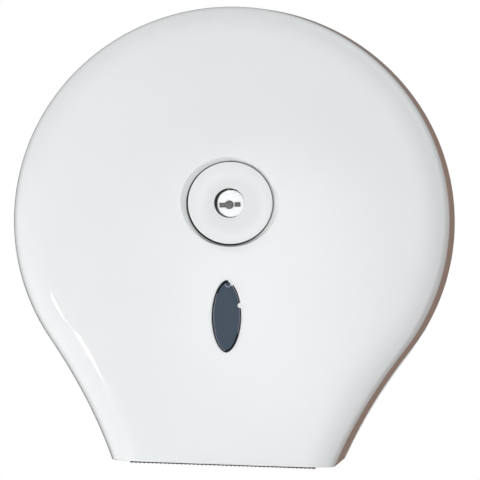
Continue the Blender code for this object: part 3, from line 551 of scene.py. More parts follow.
class Skin:
    """A mesh put together from rows of points."""

    def __init__(self):
        self.shape = bmesh.new()

    def row(self, points, out):
        """Vertices at 2D points; out is one distance, or a function of across and up."""
        height = out if callable(out) else lambda across, up: out
        return [self.shape.verts.new(put(p[0], p[1], height(p[0], p[1]))) for p in points]

    def band(self, rows, closed=True):
        for one, other in zip(rows, rows[1:]):
            count = len(one)
            for index in range(count if closed else count - 1):
                after = (index + 1) % count
                corners = []
                for vert in (one[index], one[after], other[after], other[index]):
                    if vert not in corners:
                        corners.append(vert)
                if len(corners) > 2:
                    self.shape.faces.new(corners)

    def cap(self, *rows):
        for row in rows:
            self.shape.faces.new(row)

    def sheet(self, border, holes, out, spacing=FACE_SPACING):
        """Triangles between a closed border and closed holes, over an even grid of points."""
        loops = [border, *holes]
        flat = [[(vert.co.x, vert.co.z) for vert in loop] for loop in loops]
        known = [vert for loop in loops for vert in loop]
        spots = [spot for loop in flat for spot in loop]
        edges = []
        first = 0
        for loop in loops:
            count = len(loop)
            edges += [(first + step, first + (step + 1) % count) for step in range(count)]
            first += count

        def filled(spot):
            return inside(spot, flat[0]) and not any(inside(spot, hole) for hole in flat[1:])

        rim = np.array(spots)
        low = rim.min(0)
        high = rim.max(0)
        row_height = spacing * math.sqrt(3) / 2
        grid = []
        for line in range(1, int((high[1] - low[1]) / row_height)):
            up = low[1] + line * row_height
            start = low[0] + spacing * (0.5 if line % 2 else 1)
            for step in range(int((high[0] - start) / spacing) + 1):
                spot = (start + step * spacing, up)
                gap = np.hypot(rim[:, 0] - spot[0], rim[:, 1] - spot[1]).min()
                if gap > spacing * GRID_CLEARANCE and filled(spot):
                    grid.append(spot)
        spots += grid
        known += self.row(grid, out)
        corners = [Vector(spot) for spot in spots]
        made = delaunay_2d_cdt(corners, edges, [], 0, MERGE_DISTANCE)
        places, _, faces, origins = made[:4]
        for face in faces:
            centre = sum((places[corner] for corner in face), Vector((0, 0))) / 3
            if filled(centre):
                self.shape.faces.new([known[origins[corner][0]] for corner in face])

    def mesh(self, name, sharp=SHARP_DEGREES):
        bmesh.ops.recalc_face_normals(self.shape, faces=self.shape.faces)
        mesh = bpy.data.meshes.new(name)
        self.shape.to_mesh(mesh)
        self.shape.free()
        mesh.shade_smooth()
        mesh.set_sharp_from_angle(angle=math.radians(sharp))
        return mesh


def add_piece(name, mesh, body, material, replaced=()):
    piece = bpy.data.objects.new(name, mesh)
    bpy.context.scene.collection.objects.link(piece)
    mesh.materials.append(material)
    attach(piece, body)
    if replaced:
        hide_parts(*replaced)


def link(tree, start, end):
    tree.links.new(start, end)


def ramp(tree, source, low, high, start=0.0, end=1.0):
    """Maps one range to another with a Map Range node, and returns its output."""
    made = tree.nodes.new("ShaderNodeMapRange")
    made.inputs["From Min"].default_value = start
    made.inputs["From Max"].default_value = end
    made.inputs["To Min"].default_value = low
    made.inputs["To Max"].default_value = high
    link(tree, source, made.inputs["Value"])
    return made.outputs["Result"]


def combine(tree, operation, first, second):
    """Two outputs brought together by a Math node."""
    made = tree.nodes.new("ShaderNodeMath")
    made.operation = operation
    link(tree, first, made.inputs[0])
    link(tree, second, made.inputs[1])
    return made.outputs[0]


def distance_from(tree, place, middle):
    made = tree.nodes.new("ShaderNodeVectorMath")
    made.operation = "DISTANCE"
    made.inputs[1].default_value = middle
    link(tree, place, made.inputs[0])
    return made.outputs["Value"]


def blend_colours(tree, share, first, second):
    """A colour between two, each a fixed colour or another node's output."""
    mix = tree.nodes.new("ShaderNodeMix")
    mix.data_type = "RGBA"
    link(tree, share, mix.inputs["Factor"])
    for name, colour in (("A", first), ("B", second)):
        if isinstance(colour, tuple):
            mix.inputs[name].default_value = (*colour, 1)
        else:
            link(tree, colour, mix.inputs[name])
    return mix.outputs["Result"]


def blend_shaders(tree, share, first, second, end):
    mix = tree.nodes.new("ShaderNodeMixShader")
    link(tree, share, mix.inputs["Fac"])
    link(tree, first, mix.inputs[1])
    link(tree, second, mix.inputs[2])
    link(tree, mix.outputs["Shader"], tree.nodes[end].inputs["Surface"])


def noise(tree, place, scale, detail):
    made = tree.nodes.new("ShaderNodeTexNoise")
    made.inputs["Scale"].default_value = scale
    made.inputs["Detail"].default_value = detail
    link(tree, place, made.inputs["Vector"])
    return made.outputs["Fac"]


def new_material(name):
    """A material with nodes, its tree and its object coordinates."""
    material = bpy.data.materials.new(name)
    material.use_nodes = True
    tree = material.node_tree
    return material, tree, tree.nodes.new("ShaderNodeTexCoord").outputs["Object"]


def finish_surface(tree, colour, shades, roughness, spread, clouds, gloss_noise, grain, relief):
    """Links a clouded colour, an uneven roughness and a fine relief to a material's shader."""
    shader = tree.nodes["Principled BSDF"]
    darker = tuple(value * shades[0] for value in colour)
    lighter = tuple(min(1, value * shades[1]) for value in colour)
    link(tree, blend_colours(tree, clouds, darker, lighter), shader.inputs["Base Color"])
    smooth = roughness * (1 - spread)
    rough = roughness * (1 + spread)
    gloss = ramp(tree, gloss_noise, smooth, rough, *NOISE_RANGE)
    link(tree, gloss, shader.inputs["Roughness"])
    bump = tree.nodes.new("ShaderNodeBump")
    bump.inputs["Distance"].default_value = relief
    link(tree, grain, bump.inputs["Height"])
    link(tree, bump.outputs["Normal"], shader.inputs["Normal"])
    return shader


def plastic(name, colour, roughness, peel=0.00002, peel_scale=260.0, coat=0.0, gloss_level=0.5,
            cloud=0.02, spread=0.2):
    """Moulded plastic: clouded colour, uneven gloss and a fine uneven surface."""
    material, tree, place = new_material(name)
    material.diffuse_color = (*colour, 1)
    clouds = noise(tree, place, *CLOUD_NOISE)
    fine = noise(tree, place, peel_scale, PEEL_DETAIL)
    shades = (1 - cloud, 1 + cloud)
    shader = finish_surface(tree, colour, shades, roughness, spread, clouds, clouds, fine, peel)
    shader.inputs["Coat Weight"].default_value = coat
    shader.inputs["Specular IOR Level"].default_value = gloss_level
    return material


def zinc(name, colour, roughness):
    """Zinc plate: cloudy patches and a fine grain."""
    material, tree, place = new_material(name)
    material.diffuse_color = (*colour, 1)
    grain = noise(tree, place, *ZINC_GRAIN_NOISE)
    clouds = noise(tree, place, *ZINC_CLOUD_NOISE)
    shader = finish_surface(
        tree, colour, ZINC_SHADES, roughness, ZINC_GLOSS_SPREAD, clouds, grain, grain, ZINC_RELIEF)
    shader.inputs["Metallic"].default_value = 1
    return material


COVER_WHITE = plastic("cover_white", (0.83, 0.84, 0.84), 0.07, coat=1.0)
DISC_WHITE = plastic("disc_white", (0.82, 0.83, 0.83), 0.14, coat=1.0)
LOCK_WHITE = plastic("lock_white", (0.97, 0.97, 0.97), 0.2, coat=1.0)
INNER_WHITE = plastic("inner_white", (0.78, 0.79, 0.78), 0.42, 0.00006, 700)
NYLON = plastic("natural_nylon", (0.76, 0.73, 0.65), 0.4, 0.00004, 500)
DARK = plastic("dark_nylon", (0.012, 0.0095, 0.008), 0.45, 0.00004, 500)
SMOKED = plastic("smoked_lens", (0.034, 0.056, 0.086), 0.1, 0.00001, 300, gloss_level=0.25)
# Painted shade on the pane's edge, and a painted highlight on its rim
SMOKED_EDGE_SHADE = plastic("smoked_edge_painted_shade", (0.006, 0.008, 0.016), 0.25, 0.00001, 300)
SMOKED_RIM_HIGHLIGHT = plastic("smoked_rim_painted_highlight", (0.32, 0.33, 0.40), 0.2, 0.00001, 300)
# Black for the ring of painted shade in the gap round the disc
GAP_SHADE_BLACK = plastic("gap_shade_black", (0.012, 0.011, 0.010), 0.6, 0.00004, 500)
SHUTTER = plastic("grey_shutter", (0.15, 0.15, 0.15), 0.4, 0.00003, 900, cloud=0.12)
STEEL = zinc("steel", (0.56, 0.57, 0.58), 0.28)

# What the kept nodes' slots are made of
MATERIALS = {
    "inner_white": INNER_WHITE,
    "natural_nylon": NYLON,
    "steel": STEEL,
    "lock_white": LOCK_WHITE,
    "cover_white": COVER_WHITE,
    "smoked_lens": SMOKED,
    "lock_black": DARK,
}


def section():
    """The cover's rounded edge, outside and inside, as (inset, drop) from its side to its front."""
    side_end = DEPTH - CROWN - EDGE_RADIUS + EDGE_RADIUS * math.sin(DRAFT)
    centre = side_end * math.tan(DRAFT) + EDGE_RADIUS * math.cos(DRAFT)
    inner_radius = EDGE_RADIUS - WALL
    outer = []
    inner = []
    for step in range(EDGE_STEPS + 1):
        angle = DRAFT + (math.pi / 2 - DRAFT) * step / EDGE_STEPS
        cos, sin = math.cos(angle), math.sin(angle)
        outer.append((centre - EDGE_RADIUS * cos, EDGE_RADIUS * (1 - sin)))
        inner.append((centre - inner_radius * cos, EDGE_RADIUS - inner_radius * sin))
    return outer, inner


def side_points(inset, drop, floor):
    return [(p.x, p.y, crown(p.x, p.y) - drop) for p in outline(inset, floor)]


def lip_rows(skin, outer, inner, way, radius):
    """Rows that round an edge over from an outer chain of points to an inner one."""
    rows = [outer]
    for side in (0, 1):
        for step in range(LIP_STEPS + 1):
            angle = math.pi / 2 * (step / LIP_STEPS if side == 0 else 1 - step / LIP_STEPS)
            if (side, step) in ((0, 0), (1, LIP_STEPS)):
                continue
            row = []
            for one, other in zip(outer, inner):
                across = (other.co - one.co).normalized() * radius * (1 - math.cos(angle))
                start = one.co + across if side == 0 else other.co - across
                row.append(skin.shape.verts.new(start + way * radius * math.sin(angle)))
            rows.append(row)
    rows.append(inner)
    return rows


def recess_rows(skin):
    """The hole round the lock, from its rim in the front face to its foot in the inner face."""
    rim = [
        Vector((LOCK_ACROSS + point.x * RIM_HALF_WIDTH, RIM_UP + point.y * RIM_HALF_HEIGHT))
        for point in circle(1, RECESS_STEPS)
    ]
    inner = oval(RECESS_ROWS[0][0], RECESS_STEPS, LOCK_ACROSS)
    rows = []
    for share, drop in RIM_ROWS:
        points = [a.lerp(b, share) for a, b in zip(rim, inner)]
        rows.append(skin.row(points, below_crown(drop)))
    for radius, out, across in RECESS_ROWS:
        share = OVAL if across else 1
        rows.append(skin.row(oval(radius, RECESS_STEPS, across, 0, share), out))
    cup = circle(CUP_RADIUS, RECESS_STEPS, (LOCK_ACROSS, 0))
    rows.append(skin.row(cup, below_crown(WALL)))
    skin.band(rows)
    return rows


def window_rows(skin):
    """The window's hole, from its rim in the front face to its foot in the inner face."""
    rows = [skin.row(window_outline(margin), below_crown(drop)) for margin, drop in WINDOW_RIM_ROWS]
    rows += [skin.row(window_outline(margin), out) for margin, out in PAD_ROWS]
    rows.append(skin.row(window_outline(PAD_MARGIN), below_crown(WALL)))
    skin.band(rows)
    return rows


def side_rows(skin, edge, back_inset, floor):
    """One face of the cover's side wall and rounded edge, from the back to the front."""
    back = outline(BACK * math.tan(DRAFT) + back_inset, floor)
    start = [(point.x, point.y, BACK + BACK_RADIUS) for point in back]
    rounded = [side_points(inset, drop, floor) for inset, drop in edge]
    side = [
        [tuple(a + (b - a) * share for a, b in zip(p, q)) for p, q in zip(start, rounded[0])]
        for share in SIDE_SHARES
    ]
    rows = [start, *side, *rounded]
    return [[skin.shape.verts.new(put(*point)) for point in row] for row in rows]


def round_heel(skin):
    """Draws the cover's back corner in, so that it clears the wall when the cover swings."""
    for vert in skin.shape.verts:
        out = -vert.co.y - HINGE_OUT
        up = vert.co.z - HINGE_UP
        reach = math.hypot(out, up)
        if out < 0 and up < 0 and reach > HEEL_RADIUS:
            vert.co.y = -(HINGE_OUT + out * HEEL_RADIUS / reach)
            vert.co.z = HINGE_UP + up * HEEL_RADIUS / reach


def make_cover_skin():
    skin = Skin()
    floor = BOTTOM + LIP_RADIUS
    outer_edge, inner_edge = section()
    outer = side_rows(skin, outer_edge, 0.0, floor)
    inner = side_rows(skin, inner_edge, WALL, floor)
    skin.band(outer, closed=False)
    skin.band(inner, closed=False)
    chains = []
    borders = []
    for rings, drop in ((outer, 0.0), (inner, WALL)):
        left = rings[-1][0].co.x
        base = [
            Vector((left * (1 - 2 * step / BASE_STEPS), floor)) for step in range(1, BASE_STEPS)
        ]
        base_row = skin.row(base, below_crown(drop))
        left_edge = [row[0] for row in rings]
        right_edge = [row[-1] for row in reversed(rings)]
        chains.append(left_edge + base_row + right_edge)
        borders.append(rings[-1] + base_row[::-1])
    lip = lip_rows(skin, chains[0], chains[1], Vector((0, 0, -1)), LIP_RADIUS)
    skin.band(lip, closed=False)
    back = lip_rows(skin, outer[0], inner[0], Vector((0, 1, 0)), BACK_RADIUS)
    skin.band(back, closed=False)
    for end in (0, -1):
        skin.band([[row[end] for row in back], [row[end] for row in lip]], closed=False)
    recess = recess_rows(skin)
    window = window_rows(skin)
    skin.sheet(borders[0], [recess[0], window[0]], crown)
    skin.sheet(borders[1], [recess[-1], window[-1]], below_crown(WALL))
    round_heel(skin)
    mesh = skin.mesh("cover_skin")
    add_piece("cover_skin", mesh, "cover", COVER_WHITE, ("cover_shell",))


def revolve(name, rows, material, replaced=()):
    """A closed piece from (radius, out, centre across, centre up) rows round the lock's axis."""
    skin = Skin()
    rings = [
        skin.row(oval(radius, RECESS_STEPS, across, up), out) for radius, out, across, up in rows
    ]
    skin.band(rings + [rings[0]])
    add_piece(name, skin.mesh(name), "cover", material, replaced)


def make_disc():
    """The disc in the recess, with a key hole beside its middle, and the black ring of painted
    shade in the gap under its edge.
    """
    revolve("lock_rose", DISC_ROWS, DISC_WHITE, ("lock_disc",))
    # A black ring of painted shade in the gap round the disc
    revolve("lock_gap_shade", GAP_SHADE_ROWS, GAP_SHADE_BLACK)


def slot_shapes(inset):
    """The key slot's eye with its left wing, and its right wing, as outlines drawn in."""
    radius = EYE_RADIUS - inset
    half = WING_HALF_HEIGHT - inset
    low = math.asin(half / radius)
    eye = []
    for step in range(EYE_STEPS + 1):
        angle = math.pi + low + (2 * math.pi - 2 * low) * step / EYE_STEPS
        across = EYE_ACROSS + radius * math.cos(angle)
        eye.append(Vector((across, EYE_UP + radius * math.sin(angle))))
    left = LEFT_WING_END + inset
    eye += [Vector((left, EYE_UP + half)), Vector((left, EYE_UP - half))]
    near = RIGHT_WING_START + inset
    far = RIGHT_WING_END - inset
    corners = ((far, -half, -90), (far, half, 0), (near, half, 90), (near, -half, 180))
    wing = []
    for across, up, first in corners:
        middle_across = across - math.copysign(WING_ROUNDING, across - (near + far) / 2)
        middle_up = EYE_UP + (up - math.copysign(WING_ROUNDING, up))
        wing += corner_arc(middle_across, middle_up, WING_ROUNDING, first)
    turn = Matrix.Rotation(SLOT_TURN, 2)
    centre = Vector((EYE_ACROSS, EYE_UP))
    return [[centre + turn @ (point - centre) for point in shape] for shape in (eye, wing)]


def make_plug():
    """The key plug with its slot, and the grey shutter inside the slot."""
    skin = Skin()
    rings = [skin.row(circle(radius, PLUG_STEPS), out) for radius, out in PLUG_ROWS]
    skin.band(rings)
    skin.cap(rings[-1])
    mouths = []
    for shape in slot_shapes(0):
        mouth = skin.row(shape, PLUG_FRONT)
        floor = skin.row(shape, SLOT_FLOOR)
        skin.band([mouth, floor])
        skin.sheet(floor, [], SLOT_FLOOR, SLOT_SPACING)
        mouths.append(mouth)
    skin.sheet(rings[0], mouths, PLUG_FRONT, PLUG_SPACING)
    mesh = skin.mesh("key_plug")
    add_piece("key_plug", mesh, "lock", LOCK_WHITE, ("lock_plug",))
    inner = Skin()
    for wall, edge in zip(slot_shapes(SHUTTER_GAP), slot_shapes(SHUTTER_EDGE)):
        rows = [
            inner.row(wall, SHUTTER_FLOOR),
            inner.row(wall, SHUTTER_SHOULDER),
            inner.row(edge, SHUTTER_FRONT),
        ]
        inner.band(rows)
        inner.sheet(rows[0], [], SHUTTER_FLOOR, SLOT_SPACING)
        inner.sheet(rows[-1], [], SHUTTER_FRONT, SLOT_SPACING)
    add_piece("key_shutter", inner.mesh("key_shutter"), "lock", SHUTTER)


def make_lens():
    """The level window: a smoked pane with a stepped edge in painted shade and a rim with painted
    highlights, in the cover's hole with a gap.
    """
    skin = Skin()
    rows = [skin.row(window_outline(margin), out) for margin, out, _ in LENS_ROWS]
    for number, (one, other) in enumerate(zip(rows, rows[1:])):
        skin.band([one, other])
        skin.shape.faces.ensure_lookup_table()
        for face in list(skin.shape.faces)[-len(one):]:
            centre = face.calc_center_median()
            kind = LENS_ROWS[number + 1][2]
            across, up = centre.x, centre.z - WINDOW_UP
            # Rim faces at the upper right, the lower left and both sides get the painted highlight,
            # the others painted shade
            in_highlight = across * up > HIGHLIGHT_CORNER or abs(across) > HIGHLIGHT_SIDE
            face.material_index = kind if kind < 2 or in_highlight else 1
    skin.sheet(rows[0], [], LENS_BACK)
    skin.sheet(rows[-1], [], LENS_FRONT, LENS_FRONT_SPACING)
    mesh = skin.mesh("level_window")
    add_piece("level_window", mesh, "cover", SMOKED, ("window_lens",))
    mesh.materials.append(SMOKED_EDGE_SHADE)
    mesh.materials.append(SMOKED_RIM_HIGHLIGHT)


def bead(name, path, radius, material):
    """A thin round bead along points."""
    skin = Skin()
    rings = []
    last = len(path) - 1
    for index, point in enumerate(path):
        along = (path[min(index + 1, last)] - path[max(index - 1, 0)]).normalized()
        side = along.cross(Vector((0, 1, 0))).normalized()
        rise = side.cross(along)
        ring = []
        for step in range(BEAD_SIDES):
            angle = 2 * math.pi * step / BEAD_SIDES
            away = (side * math.cos(angle) + rise * math.sin(angle)) * radius
            ring.append(skin.shape.verts.new(point + away))
        rings.append(ring)
    skin.band(rings)
    skin.cap(rings[0], rings[-1])
    add_piece(name, skin.mesh(name), "cover", material)


def make_window_details():
    """A moulded half ring at the window's top, pale with a painted highlight, and the clips that
    hold the pane.
    """
    across, up = in_window(EYELET)
    path = []
    for step in range(EYELET_STEPS + 1):
        turn = math.pi * (EYELET_START + EYELET_SWEEP * step / EYELET_STEPS)
        away = (EYELET_RADIUS * math.cos(turn), EYELET_RADIUS * math.sin(turn))
        path.append(put(across + away[0], up + away[1], LENS_FRONT))
    # The half ring is coloured with the rim's painted highlight
    bead("window_eyelet", path, EYELET_BEAD, SMOKED_RIM_HIGHLIGHT)
    skin = Skin()
    for corners in (SIDE_CLIP, TOP_CLIP):
        border = [in_window(corner) for corner in corners]
        rows = [skin.row(border, out) for out in (CLIP_BACK, CLIP_SHOULDER)]
        middle = sum(border, Vector((0, 0))) / len(border)
        drawn_in = [point.lerp(middle, CLIP_DRAW_IN) for point in border]
        rows.append(skin.row(drawn_in, CLIP_FRONT))
        skin.band(rows)
        skin.cap(rows[0], rows[-1])
    mesh = skin.mesh("window_clip", CLIP_SHARP_DEGREES)
    add_piece("window_clip", mesh, "cover", COVER_WHITE)


def wall_across(edge, up, out):
    """Where the middle of the cover's side wall is, at a height and a distance from the wall."""
    across = edge[-1].x
    for one, other in zip(edge, edge[1:]):
        if one.y >= up >= other.y:
            across = one.x + (other.x - one.x) * (one.y - up) / (one.y - other.y)
            break
    return across - out * math.tan(DRAFT) - WALL / 2


def make_lugs():
    """The bosses inside the cover that turn on the hinge pins."""
    edge = outline(0, BOTTOM)
    edge = edge[len(edge) // 2:]
    for side, name in ((-1, "cover_lug_left"), (1, "cover_lug_right")):
        skin = Skin()
        rings = []
        for radius, along, share in LUG_ROWS:
            ring = []
            for step in range(LUG_STEPS):
                angle = 2 * math.pi * step / LUG_STEPS
                out = HINGE_OUT + radius * math.sin(angle)
                up = HINGE_UP + radius * math.cos(angle)
                reach = wall_across(edge, up, out) - LUG_INNER
                across = LUG_INNER + along + reach * share
                ring.append(skin.shape.verts.new(put(side * across, up, out)))
            rings.append(ring)
        skin.band(rings)
        skin.cap(rings[0], rings[-1])
        add_piece(name, skin.mesh(name), "cover", INNER_WHITE)


def make_tear_pad():
    """The ledge inside the cover's front that the tear bar is screwed to."""
    skin = Skin()
    rows = []
    for grow, out in (
        (0, LEDGE_FRONT),
        (0, LEDGE_BACK + LEDGE_ROUNDING),
        (-LEDGE_ROUNDING, LEDGE_BACK),
    ):
        right = LEDGE_HALF_LENGTH + grow
        low = LEDGE_LOW - grow + LEDGE_CORNER
        high = LEDGE_HIGH + grow - LEDGE_CORNER
        points = []
        for across, up, first in ((-right, low, 180), (right, low, 270), (right, high, 360),
                                  (-right, high, 450)):
            middle = across - math.copysign(LEDGE_CORNER, across)
            points += corner_arc(middle, up, LEDGE_CORNER, first)
        rows.append(skin.row(points, out))
    skin.band(rows)
    skin.cap(rows[0], rows[-1])
    add_piece("tear_pad", skin.mesh("tear_pad"), "cover", INNER_WHITE)


def make_tear_teeth():
    """The dark serrated edge that the paper is torn on, in front of the tear bar."""
    count = round(2 * TEETH_HALF_LENGTH / TEETH_PITCH)
    low = []
    for step in range(2 * count + 1):
        across = -TEETH_HALF_LENGTH + step * TEETH_PITCH / 2
        low.append(Vector((across, TEETH_TIP if step % 2 else TEETH_ROOT)))
    high = [Vector((point.x, TEETH_TOP)) for point in low]
    skin = Skin()
    rows = [
        skin.row(high, TEETH_BACK),
        skin.row(low, TEETH_BACK),
        skin.row(low, TEETH_FRONT),
        skin.row(high, TEETH_FRONT),
    ]
    skin.band(rows + [rows[0]], closed=False)
    skin.cap([row[0] for row in rows], [row[-1] for row in rows])
    add_piece("tear_teeth", skin.mesh("tear_teeth"), "cover", DARK)


def cross_reach(angle):
    """How far a cross-shaped recess reaches in a direction, as a share of the head's radius."""
    wide = max(abs(math.cos(angle)), LEAST_SHARE)
    tall = max(abs(math.sin(angle)), LEAST_SHARE)
    one = min(CROSS_REACH / wide, CROSS_HALF_WIDTH / tall)
    other = min(CROSS_HALF_WIDTH / wide, CROSS_REACH / tall)
    return max(one, other)


def make_screw(node, head, height, shank, to_wall, turn):
    """A cross-head screw in the place of a node."""
    low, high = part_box(node)
    centre = (Vector(low) + Vector(high)) / 2
    if to_wall:
        body, top, tip, way = "cover", -high[1], -low[1], 1
    else:
        body, top, tip, way = "root", -low[1], -high[1], -1
    skin = Skin()
    rings = []
    for kind, share, depth in HEAD_ROWS:
        ring = []
        for step in range(SCREW_STEPS):
            angle = 2 * math.pi * step / SCREW_STEPS
            reach = head * share * (cross_reach(angle) if kind == "cross" else 1)
            across = centre.x + reach * math.cos(angle + turn)
            up = centre.z + reach * math.sin(angle + turn)
            ring.append(skin.shape.verts.new(put(across, up, top + way * height * depth)))
        rings.append(ring)
    for radius, out in (
        (shank, top + way * height),
        (shank, tip - way * SCREW_TIP),
        (shank * SCREW_TIP_SHARE, tip),
    ):
        rings.append(skin.row(circle(radius, SCREW_STEPS, (centre.x, centre.z)), out))
    skin.band(rings)
    skin.cap(rings[0], rings[-1])
    name = f"{node}_cross"
    add_piece(name, skin.mesh(name, SCREW_SHARP_DEGREES), body, STEEL, (node,))


def make_all_screws():
    for family, count, head, height, shank, to_wall in SCREWS:
        for number in range(1, count + 1):
            turn = SCREW_TURN_BY_NUMBER * number + head * SCREW_TURN_BY_SIZE
            make_screw(f"{family}_{number}", head, height, shank, to_wall, turn)


def make_smooth_group():
    """A node group that shades a mesh smooth apart from its sharp edges."""
    group = bpy.data.node_groups.new("smooth_by_angle", "GeometryNodeTree")
    for way in ("INPUT", "OUTPUT"):
        group.interface.new_socket("Geometry", in_out=way, socket_type="NodeSocketGeometry")
    start = group.nodes.new("NodeGroupInput")
    end = group.nodes.new("NodeGroupOutput")
    faces = group.nodes.new("GeometryNodeSetShadeSmooth")
    edges = group.nodes.new("GeometryNodeSetShadeSmooth")
    edges.domain = "EDGE"
    edges.inputs["Shade Smooth"].default_value = False
    angle = group.nodes.new("GeometryNodeInputMeshEdgeAngle")
    over = group.nodes.new("FunctionNodeCompare")
    over.operation = "GREATER_THAN"
    over.inputs[1].default_value = math.radians(SHARP_DEGREES)
    link(group, start.outputs[0], faces.inputs["Geometry"])
    link(group, faces.outputs["Geometry"], edges.inputs["Geometry"])
    link(group, angle.outputs["Unsigned Angle"], over.inputs[0])
    link(group, over.outputs["Result"], edges.inputs["Selection"])
    link(group, edges.outputs["Geometry"], end.inputs[0])
    return group


def dress_nodes():
    """Gives the nodes their materials, and the kept ones their rounded edges."""
    slots = {row["node"]: row["material_slot"] for row in frame["record"]["subparts"]}
    group = make_smooth_group()
    for name, obj in frame["nodes"].items():
        material = MATERIALS[slots[name]]
        for place in obj.material_slots:
            place.material = material
        if not obj.material_slots:
            obj.data.materials.append(material)
        if name in ROUNDINGS:
            weld = obj.modifiers.new("weld", "WELD")
            weld.merge_threshold = WELD_DISTANCE
            flat = obj.modifiers.new("flat", "DECIMATE")
            flat.decimate_type = "DISSOLVE"
            flat.angle_limit = FLAT_UNDER
            bevel = obj.modifiers.new("rounding", "BEVEL")
            bevel.width = ROUNDINGS[name]
            bevel.segments = ROUNDING_SEGMENTS
            bevel.limit_method = "ANGLE"
            bevel.angle_limit = ROUNDED_OVER
            smooth = obj.modifiers.new("smooth", "NODES")
            smooth.node_group = group


def shown_share(tree):
    """1 for the rays that show a background: camera, gloss and transmission rays."""
    path = tree.nodes.new("ShaderNodeLightPath")
    either = combine(
        tree, "MAXIMUM", path.outputs["Is Camera Ray"], path.outputs["Is Glossy Ray"])
    return combine(tree, "MAXIMUM", either, path.outputs["Is Transmission Ray"])


def emission(tree, colour=None, strength=None):
    """An emission shader's output, white and of strength 1 where nothing is linked."""
    glow = tree.nodes.new("ShaderNodeEmission")
    if colour:
        link(tree, colour, glow.inputs["Color"])
    if strength:
        link(tree, strength, glow.inputs["Strength"])
    return glow.outputs["Emission"]


def make_floor():
    mesh = bpy.data.meshes.new("floor")
    shape = bmesh.new()
    bmesh.ops.create_circle(shape, cap_ends=True, segments=FLOOR_SIDES, radius=FLOOR_RADIUS)
    shape.to_mesh(mesh)
    shape.free()
    floor = bpy.data.objects.new("floor", mesh)
    floor.location = (0, 0, FLOOR_UP)
    bpy.context.scene.collection.objects.link(floor)
    material, tree, place = new_material("floor")
    shader = tree.nodes["Principled BSDF"]
    shader.inputs["Base Color"].default_value = (FLOOR_GREY, FLOOR_GREY, FLOOR_GREY, 1)
    shader.inputs["Roughness"].default_value = FLOOR_ROUGHNESS
    length = distance_from(tree, place, (0, 0, 0))
    share = ramp(tree, length, *FLOOR_GLOW, *FLOOR_GLOW_REACH)
    seen = combine(tree, "MULTIPLY", share, shown_share(tree))
    blend_shaders(tree, seen, shader.outputs["BSDF"], emission(tree), "Material Output")
    mesh.materials.append(material)


def make_card(name, place, corners, middle):
    """A card that only gloss shows.

    Returns its node tree, its coordinates, and their distance from a middle.
    """
    mesh = bpy.data.meshes.new(name)
    mesh.from_pydata([(across, 0, up) for across, up in corners], [], [(0, 1, 2, 3)])
    card = bpy.data.objects.new(name, mesh)
    card.location = place
    bpy.context.scene.collection.objects.link(card)
    card.visible_camera = False
    card.visible_diffuse = False
    card.visible_shadow = False
    card.visible_transmission = False
    material, tree, spot = new_material(name)
    mesh.materials.append(material)
    return tree, spot, distance_from(tree, spot, middle)


def make_back_card():
    """The dark card behind the object, so that its edges stand out from white.

    It is black at the left, brown at the right and grey above, and fades to white outwards.
    """
    tree, spot, distance = make_card("back_card", (0, CARD_BACK, 0), CARD_CORNERS, CARD_MIDDLE)
    axes = tree.nodes.new("ShaderNodeSeparateXYZ")
    link(tree, spot, axes.inputs[0])
    across, up = axes.outputs["X"], axes.outputs["Z"]
    sides = blend_colours(tree, ramp(tree, across, 0, 1, *CARD_SIDE_BLEND), CARD_LEFT, CARD_RIGHT)
    darks = blend_colours(tree, ramp(tree, up, 0, 1, *CARD_ABOVE_BLEND), sides, CARD_ABOVE)
    fading = combine(
        tree, "MAXIMUM", ramp(tree, distance, 0, 1, *CARD_FADE), ramp(tree, up, 0, 1, *CARD_FOOT))
    glow = emission(tree, blend_colours(tree, fading, darks, WHITE))
    link(tree, glow, tree.nodes["Material Output"].inputs["Surface"])


def make_glow_card():
    """A pale card behind the camera that fades outwards, for a soft glow on the front."""
    half = GLOW_HALF_SIZE
    corners = ((-half, -half), (half, -half), (half, half), (-half, half))
    tree, _, distance = make_card("glow_card", GLOW_PLACE, corners, (0, 0, 0))
    falling = ramp(tree, distance, GLOW_STRENGTH, 1, GLOW_CORE, half)
    falling.node.interpolation_type = "SMOOTHSTEP"
    glow = emission(tree, strength=falling)
    link(tree, glow, tree.nodes["Material Output"].inputs["Surface"])


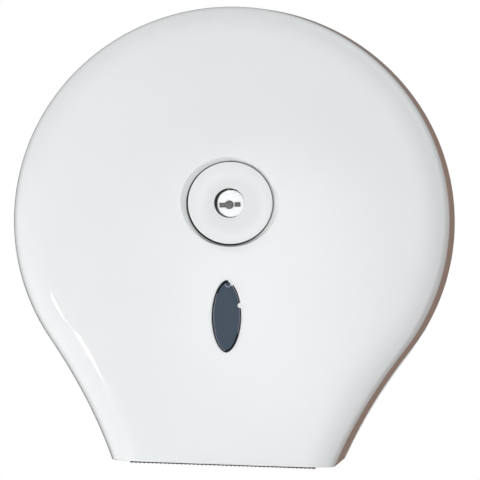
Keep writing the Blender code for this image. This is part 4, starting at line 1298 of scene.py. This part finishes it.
def make_world():
    """An uneven pale light from all round, and white where the world is seen."""
    world = bpy.data.worlds.new("studio")
    bpy.context.scene.world = world
    world.use_nodes = True
    tree = world.node_tree
    ambient = tree.nodes["Background"]
    ambient.inputs["Color"].default_value = AMBIENT_COLOUR
    place = tree.nodes.new("ShaderNodeTexCoord").outputs["Generated"]
    along = tree.nodes.new("ShaderNodeVectorMath")
    along.operation = "DOT_PRODUCT"
    along.inputs[1].default_value = AMBIENT_WAY
    link(tree, place, along.inputs[0])
    low = AMBIENT * (1 - AMBIENT_UNEVENNESS)
    high = AMBIENT * (1 + AMBIENT_UNEVENNESS)
    link(tree, ramp(tree, along.outputs["Value"], low, high, -1, 1), ambient.inputs["Strength"])
    seen = tree.nodes.new("ShaderNodeBackground")
    seen.inputs["Color"].default_value = (*WHITE, 1)
    shaders = ambient.outputs["Background"], seen.outputs["Background"]
    blend_shaders(tree, shown_share(tree), *shaders, "World Output")


def make_lights():
    """Soft lamps, and two thin strips that make the streak at the lower left."""
    for name, place, target, size, width, power, glossy in LAMPS:
        lamp = bpy.data.lights.new(name, "AREA")
        lamp.energy = power
        lamp.size = size
        if width:
            lamp.shape = "RECTANGLE"
            lamp.size_y = width
        holder = bpy.data.objects.new(name, lamp)
        way = Vector(target) - Vector(place)
        facing = way.to_track_quat("-Z", "Y").to_matrix().to_4x4()
        turned = Matrix.Rotation(STRIP_TURN if width else 0, 4, "Z")
        holder.matrix_world = Matrix.Translation(place) @ facing @ turned
        holder.visible_glossy = glossy
        bpy.context.scene.collection.objects.link(holder)


def make_camera():
    lens = bpy.data.cameras.new("camera")
    lens.lens = CAMERA_LENS
    lens.sensor_width = CAMERA_SENSOR
    camera = bpy.data.objects.new("camera", lens)
    bpy.context.scene.collection.objects.link(camera)
    way = Vector((math.sin(CAMERA_AZIMUTH), -math.cos(CAMERA_AZIMUTH), 0))
    away = way * CAMERA_DISTANCE
    facing = (-away).to_track_quat("-Z", "Y").to_matrix().to_4x4()
    place = Matrix.Translation(Vector(CAMERA_AIM) + away)
    camera.matrix_world = place @ facing @ Matrix.Rotation(CAMERA_ROLL, 4, "Z")
    bpy.context.scene.camera = camera


make_cover_skin()
make_disc()
make_plug()
make_lens()
make_window_details()
make_lugs()
make_tear_pad()
make_tear_teeth()
make_all_screws()
dress_nodes()
make_floor()
make_back_card()
make_glow_card()
make_world()
make_lights()
make_camera()
bpy.context.scene.view_settings.view_transform = "Standard"
